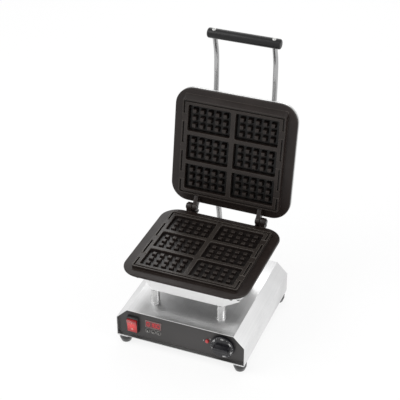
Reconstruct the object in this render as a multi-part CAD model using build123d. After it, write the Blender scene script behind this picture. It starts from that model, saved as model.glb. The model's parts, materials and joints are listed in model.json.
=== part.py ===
from build123d import *
import math
import os

# Sizes are in millimetres. X runs to the right, Y to the back and Z up. The base's
# middle is at x = 0 and y = 0, and the worktop is at z = 0.

# Base housing: one folded sheet with upright sides, bevels and a flat deck
BASE_W = 310.0
BASE_D = 300.0
BASE_H = 79.0
SIDE_H = 52.0
BEVEL_RUN = 26.5
SHEET = 1.5
RETURN_W = 26.0
FLOOR_SETBACK = 0.5
FLOOR_GAP = 0.3

# End panels
PANEL_RECESS = 8.0
PANEL_T = 2.0
PANEL_GAP = 0.3
PANEL_LIP = 14.0
PANEL_SCREW_X = 95.0
PANEL_SCREW_R = 2.0
PANEL_SCREW_HEAD_R = 3.6
PANEL_SCREW_HEAD_H = 2.0
PANEL_SCREW_L = 9.0

# Rubber feet
FOOT_H = 21.0
FOOT_R = 15.2
FOOT_SOLE_R = 11.5
FOOT_BELLY = (14.0, 6.3)
FOOT_RIM_Z = 13.0
FOOT_TOP_EASE = 1.5
FOOT_INSET_X = 15.4
FOOT_INSET_Y = 16.0
FOOT_RECESS_R = 5.5
FOOT_RECESS_H = 11.0
FOOT_SCREW_R = 2.5
FOOT_SCREW_HEAD_R = 4.6
FOOT_SCREW_HEAD_H = 3.2
FOOT_SCREW_TAIL = 1.0
FOOT_NUT_AF = 8.0
FOOT_NUT_H = 3.5

# Posts that carry the cooking plate above the deck
POST_X = 79.5
POST_Y = 91.0
POST_H = 38.0
POST_R = 9.6
POST_FOOT_R = 11.0
POST_FOOT_H = 3.0
POST_TUBE_R = 5.0
POST_TUBE_BORE_R = 3.5
POST_NUT_AF = 14.0
POST_NUT_H = 4.0
POST_TUBE_SPARE = 2.0

# Carrier pan under the lower cooking plate
CARRIER_HALF_X = 115.0
CARRIER_HALF_Y = 101.0
CARRIER_CHAMFER = 29.0
CARRIER_H = 50.0
CARRIER_SHEET = 1.5
BRACKET_T = 3.0
BRACKET_LEG_H = 28.0
EAR_PAST_STUD_1 = ((-10.0, 6.5), (6.0, 8.5))
EAR_PAST_STUD_2 = ((8.0, 7.0), (11.0, -2.0))
STUD_1 = (111.0, 115.0)
STUD_2 = (126.0, 110.0)
STUD_R = 3.0
STUD_BITE = 3.5
STUD_TAIL = 3.0
STUD_BOSS_R = 7.0
STUD_NUT_AF = 10.0
STUD_NUT_H = 5.0
WASHER_R = 6.5
WASHER_T = 1.0

# Cooking plates, measured from the middle of the pair
PLATE_Y = -7.0
WEB_HALF_X = 118.0
WEB_HALF_Y = 111.0
WEB_CORNER_R = 30.0
WEB_DROP = 8.0
FLANGE_W = 297.0
FLANGE_D = 283.0
FLANGE_CORNER_R = 44.0
LOWER_FLANGE_T = 6.0
UPPER_FLANGE_T = 7.0
FLANGE_EDGE_R = 2.4
BLOCK_W = 250.0
BLOCK_D = 236.0
BLOCK_CORNER_R = 6.0
LOWER_WALL_H = 7.0
UPPER_WALL_H = 14.0
UPPER_FRONT_SLOPE = 9.0
UPPER_SIDE_SLOPE = 1.0
UPPER_BACK_SLOPE = 1.5
PART_GAP = 0.8

# Waffle cavities, two across and three deep
CAVITY_L = 105.0
CAVITY_W = 64.0
CAVITY_DEPTH = 13.5
CAVITY_DRAFT = 2.0
CAVITY_FLOOR_R = 3.5
CAVITY_MOUTH_R = 4.0
MIDDLE_RIB = 11.0
CROSS_RIB = 9.0
CAVITY_ROWS = 3
STUD_ROWS_X = 5
STUD_ROWS_Y = 3
WAFFLE_PITCH_X = 18.7
WAFFLE_PITCH_Y = 17.9
WAFFLE_STUD_TOP = 8.5
WAFFLE_STUD_BASE = 12.0
WAFFLE_STUD_TOP_R = 1.2
WAFFLE_STUD_BASE_R = 2.0
WAFFLE_STUD_SET_DOWN = 1.0
GROOVE_W = 4.0
GROOVE_DEPTH = 4.0
GROOVE_EDGE = 3.0
BRIDGE_W = 21.0
SEAT_W = 18.0
SEAT_DEPTH = 0.9

# Hinge
HINGE_BEHIND_FLANGE = 7.5
HINGE_ABOVE_PARTING = 2.0
EAR_X = 92.2
EAR_W = 12.5
EAR_R = 9.75
ARM_X = 79.5
ARM_W = 9.5
ARM_R = 10.0
ARM_ROOT_REACH = 25.5
ARM_ROOT_UP = 6.6
ARM_ROOT_SINK = 4.0
ARM_TOP_SETBACK = 0.5
ARM_UNDER_HINGE = 7.0
ARM_PAST_HINGE = (6.0, 8.0)
HINGE_PIN_R = 5.0
HINGE_RUNNING_GAP = 0.05
PIN_HEAD_R = 7.0
PIN_HEAD_T = 2.5
CLIP_T = 1.0
CLIP_R = 7.5
CLIP_GAP = 0.3
CLIP_MOUTH = 5.0
PAD_X_LOW = 73.0
PAD_X_HIGH = 99.0
PAD_BARREL_GAP = 0.5
HINGE_ROOT_SINK = 1.0
PAD_FRONT_REACH = 16.5
PAD_BACK_REACH = 9.5
STOP_GAP = 0.3
STOP_T = 4.0
STOP_INTO_PAD = 4.0
LID_OPEN = 99.0

# Tubular heating elements and their clamps
ELEMENT_R = 4.0
ELEMENT_OUTER_X = 95.0
ELEMENT_INNER_X = 35.0
ELEMENT_FRONT = -78.0
ELEMENT_BACK = 62.0
ELEMENT_END = 50.0
ELEMENT_BEND_R = 20.0
TERMINAL_R = 3.9
TERMINAL_L = 14.0
CLAMP_L = 214.0
CLAMP_W = 20.0
CLAMP_T = 4.0
CLAMP_YS = (-8.0, 44.0)
CLAMP_SCREW_XS = (-65.0, 0.0, 65.0)
CLAMP_BOSS_R = 7.0
CLAMP_SCREW_R = 2.5
CLAMP_SCREW_HEAD_R = 4.5
CLAMP_SCREW_HEAD_H = 3.5
CLAMP_SCREW_BITE = 12.0

# Hood over the upper plate
HOOD_RIM_H = 7.0
HOOD_BEVEL = 22.0
HOOD_SHEET = 1.5
PILLAR_X = 110.0
PILLAR_Y = 72.0
PILLAR_R = 6.5
HOOD_SCREW_R = 2.5
HOOD_SCREW_HEAD_R = 4.8
HOOD_SCREW_HEAD_H = 2.6
HOOD_SCREW_EASE = 1.2
HOOD_SCREW_L = 14.0

# Handle, in the closed position
ROD_X = 71.5
ROD_R = 5.9
ROD_ROOT_Y = -50.0
ROD_ROOT_RISE = 56.2
ROD_ROOT_BEND_R = 18.0
ROD_ARCH = (-150.0, 281.5)
ROD_ARCH_R = 400.0
ROD_KNEE = (-228.0, 269.5)
ROD_KNEE_R = 150.0
GRIP_Y = -278.4
GRIP_Z = 246.0
GRIP_L = 175.0
GRIP_R = 11.75
GRIP_END_R = 4.0
ROD_BOSS_R = 11.0
ROD_BOSS_H = 12.0
ROD_BITE = 9.0
ROD_HOOD_GAP = 0.4
ROD_NUT_AF = 19.0
ROD_NUT_H = 7.0
GRIP_SCREW_R = 3.0
GRIP_SCREW_BITE = 14.0
GRIP_SCREW_HEAD_R = 4.6
GRIP_SCREW_HEAD_H = 3.6
GRIP_SCREW_EASE = 1.4
GRIP_COUNTERBORE_R = 5.0
GRIP_COUNTERBORE_DEPTH = 2.0

# Flexible conduit from the base to the hood
CONDUIT_X = -41.0
CONDUIT_R = 6.5
CONDUIT_BORE_R = 4.6
CONDUIT_LEAD_OUT = 17.0
HOOD_GLAND_UP = 8.5
BASE_GLAND_Z = 48.0
GLAND_HEX_AF = 17.0
GLAND_HEX_H = 6.0
GLAND_COLLAR_R = 8.0
GLAND_COLLAR_H = 5.0
GLAND_THREAD_R = 6.0
GLAND_THREAD_L = 10.0
GLAND_NUT_H = 3.5

# Mains inlet gland in the rear panel
MAINS_X = 95.0
MAINS_Z = 48.0
MAINS_BORE_R = 4.0
MAINS_CAP_R = 9.5
MAINS_CAP_H = 10.0

# Power rocker
SWITCH_X = -115.7
SWITCH_Z = 59.0
SWITCH_BASE = (28.5, 43.0)
SWITCH_FRONT = (26.6, 38.6)
SWITCH_PROUD = 9.0
SWITCH_BODY = (25.4, 37.4)
SWITCH_BODY_L = 25.0
ROCKER_ROOM = 4.0
ROCKER_W = 24.0
ROCKER_R = 17.4
ROCKER_PIVOT_PROUD = 6.5
ROCKER_FRONT = 6.0
ROCKER_BACK = 5.0
ROCKER_DISH = 1.8
ROCKER_SIDE_GAP = 0.2
ROCKER_END_GAP = 0.5
ROCKER_THROW = 16.0
TRUNNION_R = 1.2
TRUNNION_L = 0.7
TRUNNION_GAP = 0.05

# Temperature display and push buttons
DISPLAY_X = -67.2
DISPLAY_Z = 68.0
DISPLAY_W = 36.0
DISPLAY_H = 16.5
DISPLAY_FRAME = 1.75
DISPLAY_FRAME_PROUD = 1.6
DISPLAY_WINDOW_PROUD = 1.0
BUTTON_XS = (-81.2, -67.3, -53.9)
BUTTON_Z = 48.0
BUTTON_R = 3.25
BUTTON_PROUD = 2.2
BUTTON_GAP = 0.15
BUTTON_FLANGE_R = 4.6
BUTTON_FLANGE_T = 1.2
BUTTON_FLANGE_GAP = 0.1
BUTTON_STEM_R = 1.5
BUTTON_TRAVEL = 0.8
BUTTON_STOP_GAP = 0.1
BOARD_BEHIND = 14.0
BOARD_T = 1.6
BOARD_W = 64.0
BOARD_H = 52.0
BOARD_Z = 59.5
TACT_W = 6.0
TACT_H = 3.8
TACT_PLUNGER_H = 1.0
STANDOFF_R = 3.0
STANDOFF_INSET = 5.0

# Pilot lamp
LAMP_X = 64.0
LAMP_Z = 62.5
LAMP_R = 4.5
LAMP_NECK_R = 3.5
LAMP_PROUD = 2.0
LAMP_DOME = 3.0
LAMP_BODY_L = 20.0
LAMP_NUT_R = 6.0
LAMP_NUT_T = 3.0

# Thermostat and its knob
KNOB_X = 101.5
KNOB_Z = 61.0
BEZEL_R = 29.2
BEZEL_T = 1.5
KNOB_R = 28.0
KNOB_BACK = 2.2
KNOB_FACE = 9.0
KNOB_FACE_T = 2.2
KNOB_HOLLOW_R = 24.0
KNOB_HUB_R = 6.0
KNOB_HUB_BACK = 6.2
KNOB_EDGE_R = 1.6
KNOB_BAR_L = 38.0
KNOB_BAR_W = 10.0
KNOB_BAR_TOP = 22.0
KNOB_BAR_SINK = 1.0
KNOB_BAR_EASE = 1.5
KNOB_TURN = 270.0
SHAFT_R = 3.0
SHAFT_FRONT = 18.0
SHAFT_RUNNING_GAP = 0.05
BUSHING_R = 5.0
BUSHING_PROUD = 5.2
BUSHING_NUT_AF = 14.0
BUSHING_NUT_H = 2.5
THERMOSTAT_W = 42.0
THERMOSTAT_H = 36.0
THERMOSTAT_L = 30.0
SHAFT_INTO_BODY = 12.0
CAPILLARY_R = 1.0
BULB_R = 3.0
BULB_L = 48.0
BULB_X = 14.0

# Contactor and terminal block on the floor of the base
CONTACTOR_SIZE = (60.0, 46.0, 40.0)
CONTACTOR_SPOT = (-70.0, 20.0)
CONTACTOR_FOOT_T = 4.0
CONTACTOR_FOOT_L = 10.0
TERMINAL_SIZE = (70.0, 22.0, 20.0)
TERMINAL_SPOT = (60.0, 92.0)
TERMINAL_WAYS = 5
TERMINAL_WELL_R = 3.2
TERMINAL_WELL_DEPTH = 7.0
MOUNT_SCREW_R = 2.0
MOUNT_SCREW_HEAD_R = 3.6
MOUNT_SCREW_HEAD_H = 2.4
LEAD_R = 1.4

# Levels and edges that follow from the sizes above
floor_z = FOOT_H
floor_top = floor_z + 2 * SHEET
deck_z = floor_z + BASE_H
deck_half = BASE_W / 2 - BEVEL_RUN
front_y = -BASE_D / 2 + PANEL_RECESS
rear_y = BASE_D / 2 - PANEL_RECESS
carrier_z = deck_z + POST_H
web_z = carrier_z + CARRIER_H
flange_z = web_z + WEB_DROP
lower_wall_z = flange_z + LOWER_FLANGE_T
parting_z = lower_wall_z + LOWER_WALL_H
upper_face_z = parting_z + PART_GAP
upper_flange_z = upper_face_z + UPPER_WALL_H
upper_back_z = upper_flange_z + UPPER_FLANGE_T
hood_top_z = upper_back_z + HOOD_RIM_H + HOOD_BEVEL
flange_rear = PLATE_Y + FLANGE_D / 2
hinge_y = flange_rear + HINGE_BEHIND_FLANGE
hinge_z = parting_z + HINGE_ABOVE_PARTING
cavity_x = (MIDDLE_RIB + CAVITY_L) / 2
cavity_pitch_y = CAVITY_W + CROSS_RIB
groove_half_x = BLOCK_W / 2 - GROOVE_EDGE
groove_half_y = BLOCK_D / 2 - GROOVE_EDGE
UPRIGHT = (Align.CENTER, Align.CENTER, Align.MIN)
SIDES = (-1, 1)
lower_element_z = web_z - ELEMENT_R
upper_element_z = upper_back_z + ELEMENT_R


def post_at(radius, x, y, z_low, z_high):
    """Upright cylinder between two levels."""
    return Pos(x, y, z_low) * Cylinder(radius, z_high - z_low, align=UPRIGHT)


def bar_across(radius, x_low, x_high, y, z):
    """Cylinder along X between two sides."""
    return Pos(x_low, y, z) * Rot(0, 90, 0) * Cylinder(radius, x_high - x_low, align=UPRIGHT)


def pin_forward(radius, x, y_back, z, length):
    """Cylinder that runs forward from y_back."""
    return Pos(x, y_back, z) * Rot(90, 0, 0) * Cylinder(radius, length, align=UPRIGHT)


def hex_at(across_flats, x, y, z_low, height):
    """Upright hexagon prism, for a nut."""
    outline = RegularPolygon(across_flats / 2, 6, major_radius=False)
    return Pos(x, y, z_low) * extrude(outline, height)


def hex_forward(across_flats, x, y_back, z, length):
    """Hexagon prism that runs forward from y_back."""
    outline = RegularPolygon(across_flats / 2, 6, major_radius=False)
    return Pos(x, y_back, z) * Rot(90, 0, 0) * extrude(outline, length)


def block_between(x_low, x_high, y_low, y_high, z_low, z_high):
    """Box between two corners."""
    size = (x_high - x_low, y_high - y_low, z_high - z_low)
    middle = Pos((x_low + x_high) / 2, (y_low + y_high) / 2, z_low)
    return middle * Box(*size, align=UPRIGHT)


def prism_x(points, x_low, x_high):
    """Solid with an outline of (y, z) points, from x_low to x_high."""
    outline = make_face(Polyline(*[(x_low, y, z) for y, z in points], close=True))
    return extrude(outline, amount=x_high - x_low, dir=(1, 0, 0))


def prism_y(points, y_low, y_high):
    """Solid with an outline of (x, z) points, from y_low to y_high."""
    outline = make_face(Polyline(*[(x, y_low, z) for x, z in points], close=True))
    return extrude(outline, amount=y_high - y_low, dir=(0, 1, 0))


def prism_z(points, z_low, z_high):
    """Solid with an outline of (x, y) points, from z_low to z_high."""
    outline = make_face(Polyline(*[(x, y, z_low) for x, y in points], close=True))
    return extrude(outline, amount=z_high - z_low, dir=(0, 0, 1))


def group(pieces):
    """Like pieces of one node, kept as separate solids."""
    return Compound([solid for piece in pieces for solid in piece.solids()])


def corner_spots(x, y):
    """The four places at plus and minus x, and y to the front and back of the plates."""
    return [(side * x, PLATE_Y + end * y) for end in SIDES for side in SIDES]


def tube_along(points, radii, radius, bore=0.0):
    """Round tube along straight runs joined by tangent arcs."""
    path = FilletPolyline(*points, radius=radii)
    section = Plane(path @ 0, z_dir=path % 0) * Circle(radius)
    if bore:
        section -= Plane(path @ 0, z_dir=path % 0) * Circle(bore)
    return sweep(section, path=path)


def fair_radii(points):
    """Largest fair arc at each inner point of a cord's route."""
    radii = []
    corners = [Vector(*point) for point in points]
    for before, here, after in zip(corners, corners[1:], corners[2:]):
        turn = (here - before).get_angle(after - here)
        shorter = min((here - before).length, (after - here).length)
        radii.append(0.45 * shorter / math.tan(math.radians(turn) / 2))
    return radii


def housing_outline(inset):
    """End outline of the base housing in (x, z), pulled in by inset."""
    lean = math.atan2(BASE_H - SIDE_H, BEVEL_RUN)
    half = BASE_W / 2 - inset
    shoulder_z = floor_z + SIDE_H - inset * math.tan(lean / 2)
    top_half = deck_half - inset * math.tan(lean / 2)
    top_z = deck_z - inset
    return [(half, shoulder_z), (top_half, top_z), (-top_half, top_z), (-half, shoulder_z)]


def housing_section(inset, bottom_z):
    """Closed end outline of the housing down to bottom_z."""
    shoulders = housing_outline(inset)
    half = shoulders[0][0]
    return [(half, bottom_z)] + shoulders + [(-half, bottom_z)]


def make_base_housing():
    outer = prism_y(housing_section(0, floor_z), -BASE_D / 2, BASE_D / 2)
    inner = prism_y(housing_section(SHEET, floor_z + SHEET), -BASE_D / 2, BASE_D / 2)
    mouth = block_between(
        RETURN_W - BASE_W / 2, BASE_W / 2 - RETURN_W, -BASE_D / 2, BASE_D / 2, floor_z, floor_z + SHEET
    )
    housing = outer - inner - mouth
    for x, y in corner_spots(POST_X, POST_Y):
        housing -= post_at(POST_TUBE_R, x, y, deck_z - SHEET, deck_z)
    for x, y in foot_spots():
        housing -= post_at(FOOT_SCREW_R, x, y, floor_z, floor_z + SHEET)
    return housing


def foot_spots():
    x = BASE_W / 2 - FOOT_INSET_X
    y = BASE_D / 2 - FOOT_INSET_Y
    return [(side * x, end * y) for end in SIDES for side in SIDES]


def panel_screw_spots():
    y = BASE_D / 2 - PANEL_RECESS - PANEL_T - PANEL_LIP / 2
    return [(side * PANEL_SCREW_X, end * y) for end in SIDES for side in SIDES]


def mount_screw_spots():
    """Two fixings for the contactor and two for the terminal block."""
    cx, cy = CONTACTOR_SPOT
    reach = CONTACTOR_SIZE[0] / 2 + CONTACTOR_FOOT_L / 2
    tx, ty = TERMINAL_SPOT
    ends = TERMINAL_SIZE[0] / 2 - TERMINAL_SIZE[0] / TERMINAL_WAYS / 4
    return [(cx - reach, cy), (cx + reach, cy)], [(tx - ends, ty), (tx + ends, ty)]


def make_bottom_plate():
    half_x = BASE_W / 2 - SHEET - FLOOR_GAP
    half_y = BASE_D / 2 - FLOOR_SETBACK
    plate = block_between(-half_x, half_x, -half_y, half_y, floor_z + SHEET, floor_top)
    for x, y in foot_spots():
        plate -= post_at(FOOT_SCREW_R, x, y, floor_z + SHEET, floor_top)
    for x, y in panel_screw_spots():
        plate -= post_at(PANEL_SCREW_R, x, y, floor_z + SHEET, floor_top)
    return plate


def make_foot(x, y):
    sole = ThreePointArc((FOOT_SOLE_R, 0), FOOT_BELLY, (FOOT_R, FOOT_RIM_Z))
    edges = Polyline((0, 0), (FOOT_SOLE_R, 0)) + sole
    edges += Polyline(
        (FOOT_R, FOOT_RIM_Z),
        (FOOT_R, FOOT_H - FOOT_TOP_EASE),
        (FOOT_R - FOOT_TOP_EASE, FOOT_H),
        (0, FOOT_H),
        (0, 0),
    )
    foot = revolve(Plane.XZ * make_face(edges), Axis.Z)
    foot -= post_at(FOOT_RECESS_R, 0, 0, 0, FOOT_RECESS_H)
    foot -= post_at(FOOT_SCREW_R, 0, 0, FOOT_RECESS_H, FOOT_H)
    return Pos(x, y, 0) * foot


def make_foot_screw(x, y):
    head = post_at(FOOT_SCREW_HEAD_R, x, y, FOOT_RECESS_H - FOOT_SCREW_HEAD_H, FOOT_RECESS_H)
    shank = post_at(FOOT_SCREW_R, x, y, FOOT_RECESS_H, floor_top + FOOT_NUT_H + FOOT_SCREW_TAIL)
    return head + shank


def make_foot_nut(x, y):
    return hex_at(FOOT_NUT_AF, x, y, floor_top, FOOT_NUT_H) - post_at(
        FOOT_SCREW_R, x, y, floor_top, floor_top + FOOT_NUT_H
    )


def make_end_panel(face_y, outward):
    """Folded end panel whose outer face is at face_y; outward is -1 at the front."""
    inner_y = face_y - outward * PANEL_T
    low, high = sorted((face_y, inner_y))
    panel = prism_y(housing_section(SHEET + PANEL_GAP, floor_top), low, high)
    lip_low, lip_high = sorted((inner_y, inner_y - outward * PANEL_LIP))
    half = BASE_W / 2 - RETURN_W
    panel += block_between(-half, half, lip_low, lip_high, floor_top, floor_top + PANEL_T)
    for x, y in panel_screw_spots():
        if y * outward > 0:
            panel -= post_at(PANEL_SCREW_R, x, y, floor_top, floor_top + PANEL_T)
    return panel


def panel_window(width, height, x, z, face_y, outward):
    """Rectangular cut through an end panel."""
    low, high = sorted((face_y, face_y - outward * PANEL_T))
    return block_between(x - width / 2, x + width / 2, low, high, z - height / 2, z + height / 2)


def make_front_panel():
    panel = make_end_panel(front_y, -1)
    back = front_y + PANEL_T
    panel -= panel_window(SWITCH_BODY[0], SWITCH_BODY[1], SWITCH_X, SWITCH_Z, front_y, -1)
    panel -= panel_window(DISPLAY_W, DISPLAY_H, DISPLAY_X, DISPLAY_Z, front_y, -1)
    for x in BUTTON_XS:
        panel -= pin_forward(BUTTON_R + BUTTON_GAP, x, back, BUTTON_Z, PANEL_T)
    panel -= pin_forward(LAMP_NECK_R, LAMP_X, back, LAMP_Z, PANEL_T)
    panel -= pin_forward(BUSHING_R, KNOB_X, back, KNOB_Z, PANEL_T)
    return panel


def make_rear_panel():
    panel = make_end_panel(rear_y, 1)
    panel -= pin_forward(GLAND_THREAD_R, CONDUIT_X, rear_y, BASE_GLAND_Z, PANEL_T)
    panel -= pin_forward(GLAND_THREAD_R, MAINS_X, rear_y, MAINS_Z, PANEL_T)
    return panel


def make_panel_screw(x, y):
    top = floor_z + SHEET
    head = post_at(PANEL_SCREW_HEAD_R, x, y, top - PANEL_SCREW_HEAD_H, top)
    return head + post_at(PANEL_SCREW_R, x, y, top, top + PANEL_SCREW_L)


def make_post_spacer(x, y):
    spacer = post_at(POST_R, x, y, deck_z, carrier_z)
    spacer += post_at(POST_FOOT_R, x, y, deck_z, deck_z + POST_FOOT_H)
    return spacer - post_at(POST_TUBE_R, x, y, deck_z, carrier_z)


def make_post_tube(x, y):
    low = deck_z - SHEET - POST_NUT_H - POST_TUBE_SPARE
    high = carrier_z + CARRIER_SHEET + POST_NUT_H + POST_TUBE_SPARE
    return post_at(POST_TUBE_R, x, y, low, high) - post_at(POST_TUBE_BORE_R, x, y, low, high)


def make_post_nuts(x, y):
    low = deck_z - SHEET - POST_NUT_H
    high = carrier_z + CARRIER_SHEET
    nuts = []
    for z in (low, high):
        bore = post_at(POST_TUBE_R, x, y, z, z + POST_NUT_H)
        nuts.append(hex_at(POST_NUT_AF, x, y, z, POST_NUT_H) - bore)
    return nuts


def carrier_outline(inset):
    """Plan of the carrier pan with cut corners, pulled in by inset."""
    half_x = CARRIER_HALF_X - inset
    half_y = CARRIER_HALF_Y - inset
    cut = CARRIER_CHAMFER - inset * (2 - math.sqrt(2))
    quarter = [(half_x - cut, half_y), (half_x, half_y - cut)]
    points = quarter + [(x, -y) for x, y in reversed(quarter)]
    points += [(-x, -y) for x, y in quarter] + [(-x, y) for x, y in reversed(quarter)]
    return [(x, PLATE_Y + y) for x, y in points]


def make_plate_carrier():
    pan = prism_z(carrier_outline(0), carrier_z, web_z)
    pan -= prism_z(carrier_outline(CARRIER_SHEET), carrier_z + CARRIER_SHEET, web_z)
    for x, y in corner_spots(POST_X, POST_Y):
        pan -= post_at(POST_TUBE_R, x, y, carrier_z, carrier_z + CARRIER_SHEET)
    return pan


def corner_plan(points, side, end):
    """Plan points about the plate's middle, carried to the corner given by side and end."""
    return [(side * x, PLATE_Y + end * y) for x, y in points]


def make_plate_bracket(side, end):
    """Bent corner bracket from the pan's cut corner out under the plate's studs."""
    inner = (CARRIER_HALF_X - CARRIER_CHAMFER, CARRIER_HALF_Y)
    outer = (CARRIER_HALF_X, CARRIER_HALF_Y - CARRIER_CHAMFER)
    step = BRACKET_T / math.sqrt(2)
    ear = [inner]
    for stud, reaches in ((STUD_1, EAR_PAST_STUD_1), (STUD_2, EAR_PAST_STUD_2)):
        ear += [(stud[0] + x, stud[1] + y) for x, y in reaches]
    ear.append(outer)
    leg = [
        (inner[0] + step, inner[1] - step),
        (outer[0] - step, outer[1] + step),
        (outer[0], outer[1] + 2 * step),
        (inner[0] + 2 * step, inner[1]),
    ]
    bracket = prism_z(corner_plan(ear, side, end), web_z - BRACKET_T, web_z)
    bracket += prism_z(corner_plan(leg, side, end), web_z - BRACKET_LEG_H, web_z)
    for x, y in corner_plan([STUD_1, STUD_2], side, end):
        bracket -= post_at(STUD_R, x, y, web_z - BRACKET_T, web_z)
    return bracket


def stud_spots():
    return corner_spots(*STUD_1) + corner_spots(*STUD_2)


def make_plate_stud(x, y):
    low = web_z - BRACKET_T - WASHER_T - STUD_NUT_H - STUD_TAIL
    return post_at(STUD_R, x, y, low, flange_z + STUD_BITE)


def make_plate_nut(x, y):
    washer_z = web_z - BRACKET_T - WASHER_T
    nut = hex_at(STUD_NUT_AF, x, y, washer_z - STUD_NUT_H, STUD_NUT_H)
    nut += post_at(WASHER_R, x, y, washer_z, washer_z + WASHER_T)
    return nut - post_at(STUD_R, x, y, washer_z - STUD_NUT_H, washer_z + WASHER_T)


def tapered_block(bottom, top, height):
    """Solid between a rounded rectangle (length, width, corner) and another above it."""
    lower = RectangleRounded(*bottom)
    upper = Pos(0, 0, height) * RectangleRounded(*top)
    return loft([lower, upper], ruled=True)


def make_cavity_void():
    """The space of one waffle cavity below z = 0, with its studs left standing."""
    floor = (CAVITY_L - 2 * CAVITY_DRAFT, CAVITY_W - 2 * CAVITY_DRAFT, CAVITY_FLOOR_R)
    mouth = (CAVITY_L, CAVITY_W, CAVITY_MOUTH_R)
    void = Pos(0, 0, -CAVITY_DEPTH) * tapered_block(floor, mouth, CAVITY_DEPTH)
    stud = tapered_block(
        (WAFFLE_STUD_BASE, WAFFLE_STUD_BASE, WAFFLE_STUD_BASE_R),
        (WAFFLE_STUD_TOP, WAFFLE_STUD_TOP, WAFFLE_STUD_TOP_R),
        CAVITY_DEPTH - WAFFLE_STUD_SET_DOWN,
    )
    studs = []
    for column in range(STUD_ROWS_X):
        for row in range(STUD_ROWS_Y):
            x = (column - (STUD_ROWS_X - 1) / 2) * WAFFLE_PITCH_X
            y = (row - (STUD_ROWS_Y - 1) / 2) * WAFFLE_PITCH_Y
            studs.append(Pos(x, y, -CAVITY_DEPTH) * stud)
    return void - studs


def cavity_row_ys():
    return [(row - (CAVITY_ROWS - 1) / 2) * cavity_pitch_y for row in range(CAVITY_ROWS)]


def make_face_voids():
    """Everything that is cut down from a plate's cooking face at z = 0."""
    cavity = make_cavity_void()
    outer = Box(2 * groove_half_x, 2 * groove_half_y, GROOVE_DEPTH, align=UPRIGHT)
    inner_x = 2 * (groove_half_x - GROOVE_W)
    inner_y = 2 * (groove_half_y - GROOVE_W)
    groove = outer - Box(inner_x, inner_y, GROOVE_DEPTH, align=UPRIGHT)
    for y in cavity_row_ys():
        groove -= Pos(0, y, 0) * Box(BLOCK_W, BRIDGE_W, GROOVE_DEPTH, align=UPRIGHT)
    voids = [Pos(0, 0, -GROOVE_DEPTH) * groove]
    seat_inner = MIDDLE_RIB / 2 + CAVITY_L
    seat_l = BLOCK_W / 2 - seat_inner + 2 * UPPER_SIDE_SLOPE
    for y in cavity_row_ys():
        for side in SIDES:
            voids.append(Pos(side * cavity_x, y, 0) * cavity)
            seat = Box(seat_l, SEAT_W, SEAT_DEPTH, align=UPRIGHT)
            voids.append(Pos(side * (seat_inner + seat_l / 2), y, -SEAT_DEPTH) * seat)
    return voids


def make_flange(z_low, thickness):
    flange = extrude(RectangleRounded(FLANGE_W, FLANGE_D, FLANGE_CORNER_R), thickness)
    rims = flange.faces().sort_by(Axis.Z)[0].edges() + flange.faces().sort_by(Axis.Z)[-1].edges()
    return Pos(0, PLATE_Y, z_low) * fillet(rims, FLANGE_EDGE_R)


def element_bosses(root_z, direction):
    """Bosses between the element's legs that the clamp screws go into."""
    bosses = []
    for x in CLAMP_SCREW_XS:
        for y in CLAMP_YS:
            low, high = sorted((root_z, root_z + direction * 2 * ELEMENT_R))
            bosses.append(post_at(CLAMP_BOSS_R, x, y, low, high))
    return bosses


def clamp_screw_holes(root_z, direction):
    holes = []
    for x in CLAMP_SCREW_XS:
        for y in CLAMP_YS:
            face = root_z + direction * 2 * ELEMENT_R
            low, high = sorted((face, face - direction * CLAMP_SCREW_BITE))
            holes.append(post_at(CLAMP_SCREW_R, x, y, low, high))
    return holes


def opened(point):
    """Where a point of the closed lid lies once the lid is open."""
    hinge = Vector(0, hinge_y, hinge_z)
    return (Vector(point) - hinge).rotate(Axis.X, -LID_OPEN) + hinge


def stop_face():
    """Back edge of a hinge arm in the open position, as a (y, z) point and a direction."""
    low, high = [opened((0, *point)) for point in (arm_outline()[-1], arm_outline()[-2])]
    return low, (high - low).normalized()


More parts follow.
